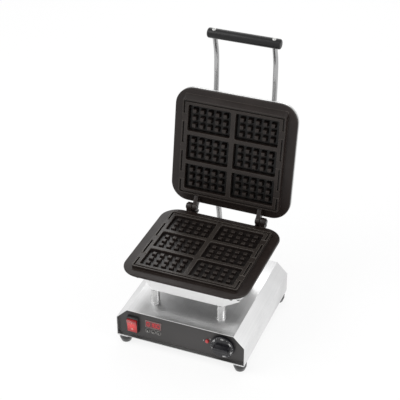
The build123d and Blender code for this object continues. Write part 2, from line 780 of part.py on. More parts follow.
def make_lower_plate():
    plate = Pos(0, PLATE_Y, web_z) * extrude(
        RectangleRounded(2 * WEB_HALF_X, 2 * WEB_HALF_Y, WEB_CORNER_R), WEB_DROP + LOWER_FLANGE_T / 2
    )
    plate += make_flange(flange_z, LOWER_FLANGE_T)
    plate += Pos(0, PLATE_Y, flange_z) * extrude(
        RectangleRounded(BLOCK_W, BLOCK_D, BLOCK_CORNER_R), LOWER_FLANGE_T + LOWER_WALL_H
    )
    for x, y in stud_spots():
        plate += post_at(STUD_BOSS_R, x, y, web_z, flange_z + FLANGE_EDGE_R)
    plate += element_bosses(web_z, -1)
    root_z = flange_z - HINGE_ROOT_SINK
    pad_top = hinge_z - ARM_R - PAD_BARREL_GAP
    pad_front = hinge_y - ARM_R - PAD_FRONT_REACH
    touch, slope = stop_face()
    stop_y = hinge_y + ARM_R + PAD_BARREL_GAP
    stop_z = touch.Z + (stop_y - touch.Y) * slope.Z / slope.Y - STOP_GAP / slope.Y
    stop_rise = STOP_T * slope.Z / slope.Y
    for side in SIDES:
        low, high = sorted((side * PAD_X_LOW, side * PAD_X_HIGH))
        pad_back = hinge_y + PAD_BACK_REACH
        plate += block_between(low, high, pad_front, pad_back, root_z, pad_top)
        ear_low = side * EAR_X - EAR_W / 2
        ear = [
            (hinge_y - EAR_R, root_z),
            (hinge_y + EAR_R, root_z),
            (hinge_y + EAR_R, hinge_z),
            (hinge_y - EAR_R, hinge_z),
        ]
        plate += prism_x(ear, ear_low, ear_low + EAR_W)
        plate += bar_across(EAR_R, ear_low, ear_low + EAR_W, hinge_y, hinge_z)
        stop = [
            (hinge_y + PAD_BACK_REACH - STOP_INTO_PAD, root_z),
            (stop_y + STOP_T, root_z),
            (stop_y + STOP_T, stop_z + stop_rise),
            (stop_y, stop_z),
            (stop_y, pad_top),
            (hinge_y + PAD_BACK_REACH - STOP_INTO_PAD, pad_top),
        ]
        arm_low = side * ARM_X - ARM_W / 2
        plate += prism_x(stop, arm_low, arm_low + ARM_W)
        plate -= bar_across(HINGE_PIN_R, ear_low, ear_low + EAR_W, hinge_y, hinge_z)
    plate -= [Pos(0, PLATE_Y, parting_z) * void for void in make_face_voids()]
    for x, y in stud_spots():
        plate -= post_at(STUD_R, x, y, web_z, flange_z + STUD_BITE)
    plate -= clamp_screw_holes(web_z, -1)
    return plate


def arm_outline():
    """Side outline of a hinge arm in (y, z), around the barrel's front and top."""
    return [
        (hinge_y - ARM_UNDER_HINGE, hinge_z - ARM_UNDER_HINGE),
        (flange_rear - ARM_ROOT_REACH, upper_face_z + ARM_ROOT_UP),
        (flange_rear - ARM_ROOT_REACH, upper_flange_z + ARM_ROOT_SINK),
        (flange_rear - ARM_TOP_SETBACK, upper_back_z - FLANGE_EDGE_R),
        (hinge_y + ARM_PAST_HINGE[0], hinge_z + ARM_PAST_HINGE[1]),
    ]


def make_upper_plate():
    front = BLOCK_D / 2 + UPPER_FRONT_SLOPE
    back = BLOCK_D / 2 + UPPER_BACK_SLOPE
    face = RectangleRounded(BLOCK_W, BLOCK_D, BLOCK_CORNER_R)
    root = RectangleRounded(BLOCK_W + 2 * UPPER_SIDE_SLOPE, front + back, BLOCK_CORNER_R)
    root = Pos(0, (back - front) / 2, UPPER_WALL_H) * root
    plate = Pos(0, PLATE_Y, upper_face_z) * loft([face, root], ruled=True)
    plate += make_flange(upper_flange_z, UPPER_FLANGE_T)
    for side in SIDES:
        low = side * ARM_X - ARM_W / 2
        plate += prism_x(arm_outline(), low, low + ARM_W)
        plate += bar_across(ARM_R, low, low + ARM_W, hinge_y, hinge_z)
        plate += post_at(ROD_BOSS_R, side * ROD_X, ROD_ROOT_Y, upper_back_z, upper_back_z + ROD_BOSS_H)
    for x, y in corner_spots(PILLAR_X, PILLAR_Y):
        plate += post_at(PILLAR_R, x, y, upper_back_z, hood_top_z - HOOD_SHEET)
    plate += element_bosses(upper_back_z, 1)
    running = HINGE_PIN_R + HINGE_RUNNING_GAP
    for side in SIDES:
        low = side * ARM_X - ARM_W / 2
        plate -= bar_across(running, low, low + ARM_W, hinge_y, hinge_z)
        top = upper_back_z + ROD_BOSS_H
        plate -= post_at(ROD_R, side * ROD_X, ROD_ROOT_Y, top - ROD_BITE, top)
    for x, y in corner_spots(PILLAR_X, PILLAR_Y):
        top = hood_top_z - HOOD_SHEET
        plate -= post_at(HOOD_SCREW_R, x, y, top - HOOD_SCREW_L, top)
    plate -= clamp_screw_holes(upper_back_z, 1)
    plate -= [Pos(0, PLATE_Y, upper_face_z) * mirror(void, Plane.XY) for void in make_face_voids()]
    return plate


def make_hinge_pin(side):
    outer = EAR_X + EAR_W / 2
    inner = ARM_X - ARM_W / 2 - CLIP_GAP - 2 * CLIP_T
    ends = sorted((side * inner, side * outer))
    pin = bar_across(HINGE_PIN_R, *ends, hinge_y, hinge_z)
    head = sorted((side * outer, side * (outer + PIN_HEAD_T)))
    return pin + bar_across(PIN_HEAD_R, *head, hinge_y, hinge_z)


def make_hinge_clip(side):
    outer = ARM_X - ARM_W / 2 - CLIP_GAP
    ends = sorted((side * outer, side * (outer - CLIP_T)))
    clip = bar_across(CLIP_R, *ends, hinge_y, hinge_z)
    clip -= bar_across(HINGE_PIN_R, *ends, hinge_y, hinge_z)
    mouth = CLIP_MOUTH / 2
    slot = block_between(*ends, hinge_y, hinge_y + CLIP_R, hinge_z - mouth, hinge_z + mouth)
    return clip - slot


def element_route(z):
    """Serpentine of the tubular element, seen from above."""
    outer, inner = ELEMENT_OUTER_X, ELEMENT_INNER_X
    half = [(outer, ELEMENT_END), (outer, ELEMENT_FRONT)]
    half += [(inner, ELEMENT_FRONT), (inner, ELEMENT_BACK)]
    return [(-x, y, z) for x, y in half] + [(x, y, z) for x, y in reversed(half)]


def make_element(z):
    return tube_along(element_route(z), ELEMENT_BEND_R, ELEMENT_R)


def make_element_terminals(z):
    terminals = []
    for side in SIDES:
        x = side * ELEMENT_OUTER_X
        terminals.append(pin_forward(TERMINAL_R, x, ELEMENT_END + TERMINAL_L, z, TERMINAL_L))
    return terminals


def make_clamp_bars(root_z, direction):
    near = root_z + direction * 2 * ELEMENT_R
    low, high = sorted((near, near + direction * CLAMP_T))
    bars = []
    for y in CLAMP_YS:
        bar = block_between(-CLAMP_L / 2, CLAMP_L / 2, y - CLAMP_W / 2, y + CLAMP_W / 2, low, high)
        for x in CLAMP_SCREW_XS:
            bar -= post_at(CLAMP_SCREW_R, x, y, low, high)
        bars.append(bar)
    return bars


def make_clamp_screws(root_z, direction):
    screws = []
    seat = root_z + direction * (2 * ELEMENT_R + CLAMP_T)
    tip = root_z + direction * 2 * ELEMENT_R - direction * CLAMP_SCREW_BITE
    for x in CLAMP_SCREW_XS:
        for y in CLAMP_YS:
            shank = post_at(CLAMP_SCREW_R, x, y, *sorted((seat, tip)))
            head = sorted((seat, seat + direction * CLAMP_SCREW_HEAD_H))
            screws.append(shank + post_at(CLAMP_SCREW_HEAD_R, x, y, *head))
    return screws


def hood_solid(inset):
    """Filled shape of the hood, pulled in by inset on every outer face."""
    width = FLANGE_W - 2 * inset
    depth = FLANGE_D - 2 * inset
    corner = FLANGE_CORNER_R - inset
    rim = HOOD_RIM_H - inset * math.tan(math.pi / 8)
    bevel = HOOD_RIM_H + HOOD_BEVEL - inset - rim
    body = extrude(RectangleRounded(width, depth, corner), rim)
    ridge = (width - 2 * bevel, depth - 2 * bevel, corner - bevel)
    top = tapered_block((width, depth, corner), ridge, bevel)
    return Pos(0, PLATE_Y, upper_back_z) * (body + Pos(0, 0, rim) * top)


def hood_gland_plane():
    """Where the conduit's gland sits on the hood's rear bevel, facing out of it."""
    foot_z = upper_back_z + HOOD_RIM_H + HOOD_GLAND_UP
    return Plane((CONDUIT_X, flange_rear - HOOD_GLAND_UP, foot_z), x_dir=(1, 0, 0), z_dir=(0, 1, 1))


def make_upper_hood():
    hood = hood_solid(0) - hood_solid(HOOD_SHEET)
    under = hood_top_z - HOOD_SHEET
    for side in SIDES:
        hood -= post_at(ROD_R + ROD_HOOD_GAP, side * ROD_X, ROD_ROOT_Y, under, hood_top_z)
    for x, y in corner_spots(PILLAR_X, PILLAR_Y):
        hood -= post_at(HOOD_SCREW_R, x, y, under, hood_top_z)
    through = Pos(0, 0, -2 * HOOD_SHEET) * Cylinder(GLAND_THREAD_R, 4 * HOOD_SHEET, align=UPRIGHT)
    return hood - hood_gland_plane() * through


def make_hood_screw(x, y):
    head = post_at(HOOD_SCREW_HEAD_R, x, y, hood_top_z, hood_top_z + HOOD_SCREW_HEAD_H)
    head = fillet(head.faces().sort_by(Axis.Z)[-1].edges(), HOOD_SCREW_EASE)
    return head + post_at(HOOD_SCREW_R, x, y, hood_top_z - HOOD_SHEET - HOOD_SCREW_L, hood_top_z)


def rod_route(side):
    root = upper_back_z + ROD_BOSS_H - ROD_BITE
    x = side * ROD_X
    return [
        (x, ROD_ROOT_Y, root),
        (x, ROD_ROOT_Y, upper_back_z + ROD_ROOT_RISE),
        (x, *ROD_ARCH),
        (x, *ROD_KNEE),
        (x, GRIP_Y, GRIP_Z),
    ]


def grip_plane(side):
    """Middle of the grip on a rod's line, facing out along the rod."""
    run = Vector(0, GRIP_Y - ROD_KNEE[0], GRIP_Z - ROD_KNEE[1])
    return Plane((side * ROD_X, GRIP_Y, GRIP_Z), x_dir=(1, 0, 0), z_dir=run)


def make_handle_rod(side):
    rod = tube_along(rod_route(side), (ROD_ROOT_BEND_R, ROD_ARCH_R, ROD_KNEE_R), ROD_R)
    bore = Pos(0, 0, -GRIP_SCREW_BITE) * Cylinder(GRIP_SCREW_R, GRIP_SCREW_BITE, align=UPRIGHT)
    return rod - grip_plane(side) * bore


def make_rod_nut(side):
    nut = hex_at(ROD_NUT_AF, side * ROD_X, ROD_ROOT_Y, hood_top_z, ROD_NUT_H)
    return nut - post_at(ROD_R, side * ROD_X, ROD_ROOT_Y, hood_top_z, hood_top_z + ROD_NUT_H)


def make_handle_grip():
    grip = bar_across(GRIP_R, -GRIP_L / 2, GRIP_L / 2, GRIP_Y, GRIP_Z)
    ends = grip.faces().sort_by(Axis.X)[0].edges() + grip.faces().sort_by(Axis.X)[-1].edges()
    grip = fillet(ends, GRIP_END_R)
    for side in SIDES:
        socket = Pos(0, 0, -2 * GRIP_R) * Cylinder(ROD_R, 2 * GRIP_R, align=UPRIGHT)
        through = Cylinder(GRIP_SCREW_R, 2 * GRIP_R, align=UPRIGHT)
        seat = Cylinder(GRIP_COUNTERBORE_R, GRIP_R, align=UPRIGHT)
        seat = Pos(0, 0, GRIP_R - GRIP_COUNTERBORE_DEPTH) * seat
        for cut in (socket, through, seat):
            grip -= grip_plane(side) * cut
    return grip


def make_grip_screw(side):
    seat = GRIP_R - GRIP_COUNTERBORE_DEPTH
    shank = Pos(0, 0, -GRIP_SCREW_BITE) * Cylinder(GRIP_SCREW_R, GRIP_SCREW_BITE + seat, align=UPRIGHT)
    head = Cylinder(GRIP_SCREW_HEAD_R, GRIP_SCREW_HEAD_H, align=UPRIGHT)
    head = fillet(head.faces().sort_by(Axis.Z)[-1].edges(), GRIP_SCREW_EASE)
    return grip_plane(side) * (shank + Pos(0, 0, seat) * head)


def make_gland(hex_af, collar_r, collar_h, bore_r):
    """Gland on z = 0 of a wall, with its thread going through it."""
    outline = RegularPolygon(hex_af / 2, 6, major_radius=False)
    gland = extrude(outline, GLAND_HEX_H)
    gland += Pos(0, 0, GLAND_HEX_H) * Cylinder(collar_r, collar_h, align=UPRIGHT)
    gland += Pos(0, 0, -GLAND_THREAD_L) * Cylinder(GLAND_THREAD_R, GLAND_THREAD_L, align=UPRIGHT)
    length = GLAND_THREAD_L + GLAND_HEX_H + collar_h
    gland -= Pos(0, 0, -GLAND_THREAD_L) * Cylinder(bore_r, length, align=UPRIGHT)
    return gland


def make_locknut(sheet):
    """Locknut that clamps a gland from behind a sheet."""
    nut = extrude(RegularPolygon(GLAND_HEX_AF / 2, 6, major_radius=False), GLAND_NUT_H)
    nut -= Cylinder(GLAND_THREAD_R, GLAND_NUT_H, align=UPRIGHT)
    return Pos(0, 0, -sheet - GLAND_NUT_H) * nut


def rear_gland_plane(x, z):
    return Plane((x, rear_y, z), x_dir=(1, 0, 0), z_dir=(0, 1, 0))


def conduit_route():
    """Route of the conduit in the open position, from the hood's gland to the base's."""
    mouth = hood_gland_plane()
    reach = GLAND_HEX_H + GLAND_COLLAR_H
    exit_y = rear_y + reach
    return [
        opened(mouth.origin + mouth.z_dir * reach),
        opened(mouth.origin + mouth.z_dir * (reach + CONDUIT_LEAD_OUT)),
        (CONDUIT_X, 205.0, 164.0),
        (CONDUIT_X, 209.5, 126.0),
        (CONDUIT_X, 208.5, 90.0),
        (CONDUIT_X, 197.0, 64.0),
        (CONDUIT_X, 176.0, BASE_GLAND_Z),
        (CONDUIT_X, exit_y, BASE_GLAND_Z),
    ]


def make_switch_housing():
    shell = Plane((SWITCH_X, front_y, SWITCH_Z), x_dir=(1, 0, 0), z_dir=(0, -1, 0))
    bezel = tapered_block((*SWITCH_BASE, 3.0), (*SWITCH_FRONT, 2.0), SWITCH_PROUD)
    housing = shell * bezel
    depth = SWITCH_BODY_L
    body = Pos(0, 0, -depth) * Box(*SWITCH_BODY, depth, align=UPRIGHT)
    housing += shell * body
    pocket_w = ROCKER_W + 2 * ROCKER_SIDE_GAP
    pocket_h = 2 * (ROCKER_R + ROCKER_END_GAP)
    floor = ROCKER_PIVOT_PROUD - ROCKER_BACK - ROCKER_ROOM
    pocket = Pos(0, 0, floor) * Box(pocket_w, pocket_h, SWITCH_PROUD - floor, align=UPRIGHT)
    housing -= shell * pocket
    reach = ROCKER_W / 2 + TRUNNION_L + TRUNNION_GAP
    pivot_y = front_y - ROCKER_PIVOT_PROUD
    bearing = TRUNNION_R + TRUNNION_GAP
    return housing - bar_across(bearing, SWITCH_X - reach, SWITCH_X + reach, pivot_y, SWITCH_Z)


def make_power_rocker():
    pivot_y = front_y - ROCKER_PIVOT_PROUD
    outline = [
        (pivot_y - ROCKER_FRONT, SWITCH_Z - ROCKER_R),
        (pivot_y - ROCKER_FRONT + ROCKER_DISH, SWITCH_Z),
        (pivot_y - ROCKER_FRONT, SWITCH_Z + ROCKER_R),
        (pivot_y + ROCKER_BACK, SWITCH_Z + ROCKER_R),
        (pivot_y + ROCKER_BACK, SWITCH_Z - ROCKER_R),
    ]
    low = SWITCH_X - ROCKER_W / 2
    high = SWITCH_X + ROCKER_W / 2
    rocker = prism_x(outline, low, high) & bar_across(ROCKER_R, low, high, pivot_y, SWITCH_Z)
    rocker += bar_across(TRUNNION_R, low - TRUNNION_L, high + TRUNNION_L, pivot_y, SWITCH_Z)
    return rocker.rotate(Axis((0, pivot_y, SWITCH_Z), (1, 0, 0)), ROCKER_THROW / 2)


def make_display_frame():
    outer_w = DISPLAY_W + 2 * DISPLAY_FRAME
    outer_h = DISPLAY_H + 2 * DISPLAY_FRAME
    face = Plane((DISPLAY_X, front_y, DISPLAY_Z), x_dir=(1, 0, 0), z_dir=(0, -1, 0))
    ring = RectangleRounded(outer_w, outer_h, 1.2) - Rectangle(DISPLAY_W, DISPLAY_H)
    return face * extrude(ring, DISPLAY_FRAME_PROUD)


def make_display_window():
    return block_between(
        DISPLAY_X - DISPLAY_W / 2,
        DISPLAY_X + DISPLAY_W / 2,
        front_y - DISPLAY_WINDOW_PROUD,
        front_y + PANEL_T,
        DISPLAY_Z - DISPLAY_H / 2,
        DISPLAY_Z + DISPLAY_H / 2,
    )


def board_spots():
    half_w = BOARD_W / 2 - STANDOFF_INSET
    half_h = BOARD_H / 2 - STANDOFF_INSET
    return [(DISPLAY_X + side * half_w, BOARD_Z + end * half_h) for end in SIDES for side in SIDES]


def make_control_board():
    """Printed board with the display module and the key switches soldered on."""
    front = front_y + PANEL_T + BOARD_BEHIND
    board = block_between(
        DISPLAY_X - BOARD_W / 2,
        DISPLAY_X + BOARD_W / 2,
        front,
        front + BOARD_T,
        BOARD_Z - BOARD_H / 2,
        BOARD_Z + BOARD_H / 2,
    )
    board += block_between(
        DISPLAY_X - DISPLAY_W / 2,
        DISPLAY_X + DISPLAY_W / 2,
        front_y + PANEL_T,
        front,
        DISPLAY_Z - DISPLAY_H / 2,
        DISPLAY_Z + DISPLAY_H / 2,
    )
    half = TACT_W / 2
    low, high = BUTTON_Z - half, BUTTON_Z + half
    for x in BUTTON_XS:
        board += block_between(x - half, x + half, front - TACT_H, front, low, high)
        board += pin_forward(BUTTON_STEM_R, x, front, BUTTON_Z, TACT_H + TACT_PLUNGER_H)
    return board


def make_standoffs():
    back = front_y + PANEL_T + BOARD_BEHIND
    return [pin_forward(STANDOFF_R, x, back, z, BOARD_BEHIND) for x, z in board_spots()]


def make_button(x):
    inner = front_y + PANEL_T
    flange_y = inner + BUTTON_FLANGE_GAP
    plunger_tip = inner + BOARD_BEHIND - TACT_H - TACT_PLUNGER_H
    stem_end = plunger_tip - BUTTON_TRAVEL - BUTTON_STOP_GAP
    cap = pin_forward(BUTTON_R, x, flange_y, BUTTON_Z, BUTTON_PROUD + PANEL_T + BUTTON_FLANGE_GAP)
    cap = fillet(cap.faces().sort_by(Axis.Y)[0].edges(), 0.6)
    cap += pin_forward(BUTTON_FLANGE_R, x, flange_y + BUTTON_FLANGE_T, BUTTON_Z, BUTTON_FLANGE_T)
    return cap + pin_forward(BUTTON_STEM_R, x, stem_end, BUTTON_Z, stem_end - flange_y)


def make_pilot_lamp():
    neck_l = PANEL_T + LAMP_BODY_L
    lens = pin_forward(LAMP_R, LAMP_X, front_y, LAMP_Z, LAMP_PROUD + LAMP_DOME)
    lens = fillet(lens.faces().sort_by(Axis.Y)[0].edges(), LAMP_DOME)
    return lens + pin_forward(LAMP_NECK_R, LAMP_X, front_y + neck_l, LAMP_Z, neck_l)


def make_lamp_nut():
    back = front_y + PANEL_T + LAMP_NUT_T
    nut = pin_forward(LAMP_NUT_R, LAMP_X, back, LAMP_Z, LAMP_NUT_T)
    return nut - pin_forward(LAMP_NECK_R, LAMP_X, back, LAMP_Z, LAMP_NUT_T)


def make_thermostat_body():
    inner = front_y + PANEL_T
    body = block_between(
        KNOB_X - THERMOSTAT_W / 2,
        KNOB_X + THERMOSTAT_W / 2,
        inner,
        inner + THERMOSTAT_L,
        KNOB_Z - THERMOSTAT_H / 2,
        KNOB_Z + THERMOSTAT_H / 2,
    )
    body += pin_forward(BUSHING_R, KNOB_X, inner, KNOB_Z, PANEL_T + BUSHING_PROUD)
    running = SHAFT_R + SHAFT_RUNNING_GAP
    bore_back = inner + SHAFT_INTO_BODY
    bore_l = SHAFT_INTO_BODY + PANEL_T + BUSHING_PROUD
    return body - pin_forward(running, KNOB_X, bore_back, KNOB_Z, bore_l)


def make_thermostat_nut():
    nut = hex_forward(BUSHING_NUT_AF, KNOB_X, front_y, KNOB_Z, BUSHING_NUT_H)
    return nut - pin_forward(BUSHING_R, KNOB_X, front_y, KNOB_Z, BUSHING_NUT_H)


def make_thermostat_shaft():
    back = front_y + PANEL_T + SHAFT_INTO_BODY - 0.5
    return pin_forward(SHAFT_R, KNOB_X, back, KNOB_Z, back - front_y + SHAFT_FRONT)


def make_knob_bezel():
    ring = pin_forward(BEZEL_R, KNOB_X, front_y, KNOB_Z, BEZEL_T)
    return ring - pin_forward(BUSHING_NUT_AF * 0.65, KNOB_X, front_y, KNOB_Z, BEZEL_T)


def make_control_knob():
    back = front_y - KNOB_BACK
    face = front_y - KNOB_FACE
    knob = pin_forward(KNOB_R, KNOB_X, back, KNOB_Z, KNOB_FACE - KNOB_BACK)
    knob = fillet(knob.faces().sort_by(Axis.Y)[0].edges(), KNOB_EDGE_R)
    knob -= pin_forward(KNOB_HOLLOW_R, KNOB_X, back, KNOB_Z, KNOB_FACE - KNOB_BACK - KNOB_FACE_T)
    knob += pin_forward(KNOB_HUB_R, KNOB_X, front_y - KNOB_HUB_BACK, KNOB_Z, KNOB_FACE - KNOB_HUB_BACK)
    bar = extrude(SlotOverall(KNOB_BAR_L, KNOB_BAR_W), KNOB_BAR_TOP - KNOB_FACE + KNOB_BAR_SINK)
    bar = fillet(bar.faces().sort_by(Axis.Z)[-1].edges(), KNOB_BAR_EASE)
    root = Plane((KNOB_X, face + KNOB_BAR_SINK, KNOB_Z), x_dir=(1, 0, 0), z_dir=(0, -1, 0))
    knob += root * bar
    return knob - pin_forward(SHAFT_R, KNOB_X, front_y, KNOB_Z, SHAFT_FRONT)


def make_capillary():
    """Bulb under the lower plate and its thin tube down a hollow post to the thermostat."""
    bulb_z = web_z - BULB_R
    bulb_front = PLATE_Y - BULB_L / 2
    bulb = pin_forward(BULB_R, BULB_X, bulb_front + BULB_L, bulb_z, BULB_L)
    post_x, post_y = POST_X, PLATE_Y + POST_Y
    tail_y = front_y + PANEL_T + THERMOSTAT_L
    bulb_back = bulb_front + BULB_L
    route = [
        (BULB_X, bulb_back, bulb_z),
        (BULB_X, bulb_back + 8.0, bulb_z),
        (BULB_X + 3.0, bulb_back + 13.0, bulb_z - 14.0),
        (BULB_X + 20.0, bulb_back + 30.0, bulb_z - 20.0),
        (post_x - 12.0, post_y - 4.0, carrier_z + 25.0),
        (post_x, post_y, carrier_z + 12.0),
        (post_x, post_y, deck_z - 16.0),
        (post_x + 6.0, post_y - 30.0, deck_z - 30.0),
        (KNOB_X, tail_y + 45.0, KNOB_Z),
        (KNOB_X, tail_y, KNOB_Z),
    ]
    return bulb, route


def make_contactor():
    cx, cy = CONTACTOR_SPOT
    width, depth, height = CONTACTOR_SIZE
    body = Pos(cx, cy, floor_top) * Box(width, depth, height, align=UPRIGHT)
    foot_l = width + 2 * CONTACTOR_FOOT_L
    body += Pos(cx, cy, floor_top) * Box(foot_l, depth / 2, CONTACTOR_FOOT_T, align=UPRIGHT)
    for x, y in mount_screw_spots()[0]:
        body -= post_at(MOUNT_SCREW_R, x, y, floor_top, floor_top + CONTACTOR_FOOT_T)
    return body


def make_terminal_block():
    tx, ty = TERMINAL_SPOT
    width, depth, height = TERMINAL_SIZE
    block = Pos(tx, ty, floor_top) * Box(width, depth, height, align=UPRIGHT)
    well_z = floor_top + height - TERMINAL_WELL_DEPTH
    for way in range(TERMINAL_WAYS):
        x = tx + (way - (TERMINAL_WAYS - 1) / 2) * width / TERMINAL_WAYS
        for y in (ty - depth / 4, ty + depth / 4):
            block -= post_at(TERMINAL_WELL_R, x, y, well_z, floor_top + height)
    for x, y in mount_screw_spots()[1]:
        block -= post_at(MOUNT_SCREW_R, x, y, floor_top, floor_top + height)
    return block


def make_mount_screws():
    screws = []
    seats = (floor_top + CONTACTOR_FOOT_T, floor_top + TERMINAL_SIZE[2])
    for seat, spots in zip(seats, mount_screw_spots()):
        for x, y in spots:
            head = post_at(MOUNT_SCREW_HEAD_R, x, y, seat, seat + MOUNT_SCREW_HEAD_H)
            screws.append(post_at(MOUNT_SCREW_R, x, y, floor_top, seat) + head)
    return screws


def lead_routes():
    """Two supply leads from the contactor up the left rear post to the lower element."""
    post_x, post_y = -POST_X, PLATE_Y + POST_Y
    top = floor_top + CONTACTOR_SIZE[2]
    end_y = ELEMENT_END + TERMINAL_L
    routes = []
    for side in SIDES:
        shift = side * 1.15 * LEAD_R
        start_x = CONTACTOR_SPOT[0] + 6 * shift
        route = [
            (start_x, CONTACTOR_SPOT[1], top),
            (start_x, CONTACTOR_SPOT[1], top + 18.0),
            (post_x + shift, post_y - 24.0, deck_z - 20.0),
            (post_x + shift, post_y, deck_z - 20.0),
            (post_x + shift, post_y, carrier_z + 14.0),
        ]
        if side > 0:
            route.append((post_x + 20.0, post_y, carrier_z + 22.0))
            route.append((post_x + 120.0, post_y + 2.0, carrier_z + 28.0))
        route += [
            (side * (ELEMENT_OUTER_X - 7.0), end_y + 18.0, web_z - 16.0),
            (side * ELEMENT_OUTER_X, end_y + 12.0, lower_element_z),
            (side * ELEMENT_OUTER_X, end_y, lower_element_z),
        ]
        routes.append(route)
    return routes


hinge_axis = Axis((0, hinge_y, hinge_z), (1, 0, 0))
capillary_bulb, capillary_path = make_capillary()
conduit_path = conduit_route()
conduit_radii = fair_radii(conduit_path)
fixed_nodes = {
    "base_housing": make_base_housing(),
    "bottom_plate": make_bottom_plate(),
    "front_panel": make_front_panel(),
    "rear_panel": make_rear_panel(),
    "rubber_feet": group(make_foot(x, y) for x, y in foot_spots()),
    "foot_screws": group(make_foot_screw(x, y) for x, y in foot_spots()),
    "foot_nuts": group(make_foot_nut(x, y) for x, y in foot_spots()),
    "panel_screws": group(make_panel_screw(x, y) for x, y in panel_screw_spots()),
    "post_spacers": group(make_post_spacer(x, y) for x, y in corner_spots(POST_X, POST_Y)),
    "post_tubes": group(make_post_tube(x, y) for x, y in corner_spots(POST_X, POST_Y)),
    "post_nuts": group(nut for x, y in corner_spots(POST_X, POST_Y) for nut in make_post_nuts(x, y)),
    "plate_carrier": make_plate_carrier(),
    "plate_brackets": group(make_plate_bracket(side, end) for end in SIDES for side in SIDES),
    "plate_studs": group(make_plate_stud(x, y) for x, y in stud_spots()),
    "plate_nuts": group(make_plate_nut(x, y) for x, y in stud_spots()),
    "lower_plate": make_lower_plate(),
    "lower_heating_element": make_element(lower_element_z),
    "lower_element_terminals": group(make_element_terminals(lower_element_z)),
    "lower_clamp_bars": group(make_clamp_bars(web_z, -1)),
    "lower_clamp_screws": group(make_clamp_screws(web_z, -1)),
    "hinge_pins": group(make_hinge_pin(side) for side in SIDES),
    "hinge_clips": group(make_hinge_clip(side) for side in SIDES),
    "switch_housing": make_switch_housing(),
    "display_frame": make_display_frame(),
    "display_window": make_display_window(),
    "control_board": make_control_board(),
    "board_standoffs": group(make_standoffs()),
    "pilot_lamp": make_pilot_lamp(),
    "thermostat_body": make_thermostat_body(),
    "panel_nuts": group((make_lamp_nut(), make_thermostat_nut())),
    "knob_bezel": make_knob_bezel(),
    "thermostat_capillary": capillary_bulb
    + tube_along(capillary_path, fair_radii(capillary_path), CAPILLARY_R),
    "contactor": make_contactor(),
    "terminal_block": make_terminal_block(),
    "mounting_screws": group(make_mount_screws()),
    "element_leads": group(tube_along(route, fair_radii(route), LEAD_R) for route in lead_routes()),
    "conduit_base_gland": rear_gland_plane(CONDUIT_X, BASE_GLAND_Z)
    * make_gland(GLAND_HEX_AF, GLAND_COLLAR_R, GLAND_COLLAR_H, CONDUIT_BORE_R),
    "mains_gland": rear_gland_plane(MAINS_X, MAINS_Z)
    * make_gland(GLAND_HEX_AF, MAINS_CAP_R, MAINS_CAP_H, MAINS_BORE_R),
    "gland_locknuts": group(
        rear_gland_plane(x, z) * make_locknut(PANEL_T)
        for x, z in ((CONDUIT_X, BASE_GLAND_Z), (MAINS_X, MAINS_Z))
    ),
    "flexible_conduit": tube_along(conduit_path, conduit_radii, CONDUIT_R, CONDUIT_BORE_R),
}

lid_nodes = {
    "upper_plate": make_upper_plate(),
    "upper_heating_element": make_element(upper_element_z),
    "upper_element_terminals": group(make_element_terminals(upper_element_z)),
    "upper_clamp_bars": group(make_clamp_bars(upper_back_z, 1)),
    "upper_clamp_screws": group(make_clamp_screws(upper_back_z, 1)),
    "upper_hood": make_upper_hood(),
    "hood_screws": group(make_hood_screw(x, y) for x, y in corner_spots(PILLAR_X, PILLAR_Y)),
    "left_handle_rod": make_handle_rod(-1),
    "right_handle_rod": make_handle_rod(1),
    "rod_nuts": group(make_rod_nut(side) for side in SIDES),
    "handle_grip": make_handle_grip(),
    "grip_screws": group(make_grip_screw(side) for side in SIDES),
    "conduit_hood_gland": hood_gland_plane()
    * make_gland(GLAND_HEX_AF, GLAND_COLLAR_R, GLAND_COLLAR_H, CONDUIT_BORE_R),
}

control_nodes = {
    "power_rocker": make_power_rocker(),
    "left_button": make_button(BUTTON_XS[0]),
    "middle_button": make_button(BUTTON_XS[1]),
    "right_button": make_button(BUTTON_XS[2]),
    "control_knob": make_control_knob(),
    "thermostat_shaft": make_thermostat_shaft(),
}

nodes = dict(fixed_nodes)
nodes.update({name: shape.rotate(hinge_axis, -LID_OPEN) for name, shape in lid_nodes.items()})
nodes.update(control_nodes)

# The part's origin is under the middle of its whole box, on the worktop.
box = Compound(list(nodes.values())).bounding_box()
shift = Pos(-(box.min.X + box.max.X) / 2, -(box.min.Y + box.max.Y) / 2, -box.min.Z)

os.makedirs("parts", exist_ok=True)
for name, shape in nodes.items():
    export_step(shift * shape, f"parts/{name}.step")

moved = shift.position
print("whole size", box.size)
print("shift of the base's middle", moved)
print("lid hinge", (0, hinge_y + moved.Y, hinge_z))
print("rocker pivot", (SWITCH_X, front_y - ROCKER_PIVOT_PROUD + moved.Y, SWITCH_Z))
print("buttons", [(x, front_y + moved.Y, BUTTON_Z) for x in BUTTON_XS])
print("knob", (KNOB_X, front_y + moved.Y, KNOB_Z))
print("conduit points", [tuple(round(value, 1) for value in point) for point in conduit_path])
print("conduit arcs", [round(radius, 1) for radius in conduit_radii])
print("capillary arcs", [round(radius, 1) for radius in fair_radii(capillary_path)])
for route in lead_routes():
    print("lead arcs", [round(radius, 1) for radius in fair_radii(route)])
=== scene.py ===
import json
import math
import bmesh
import bpy
from mathutils import Matrix, Vector


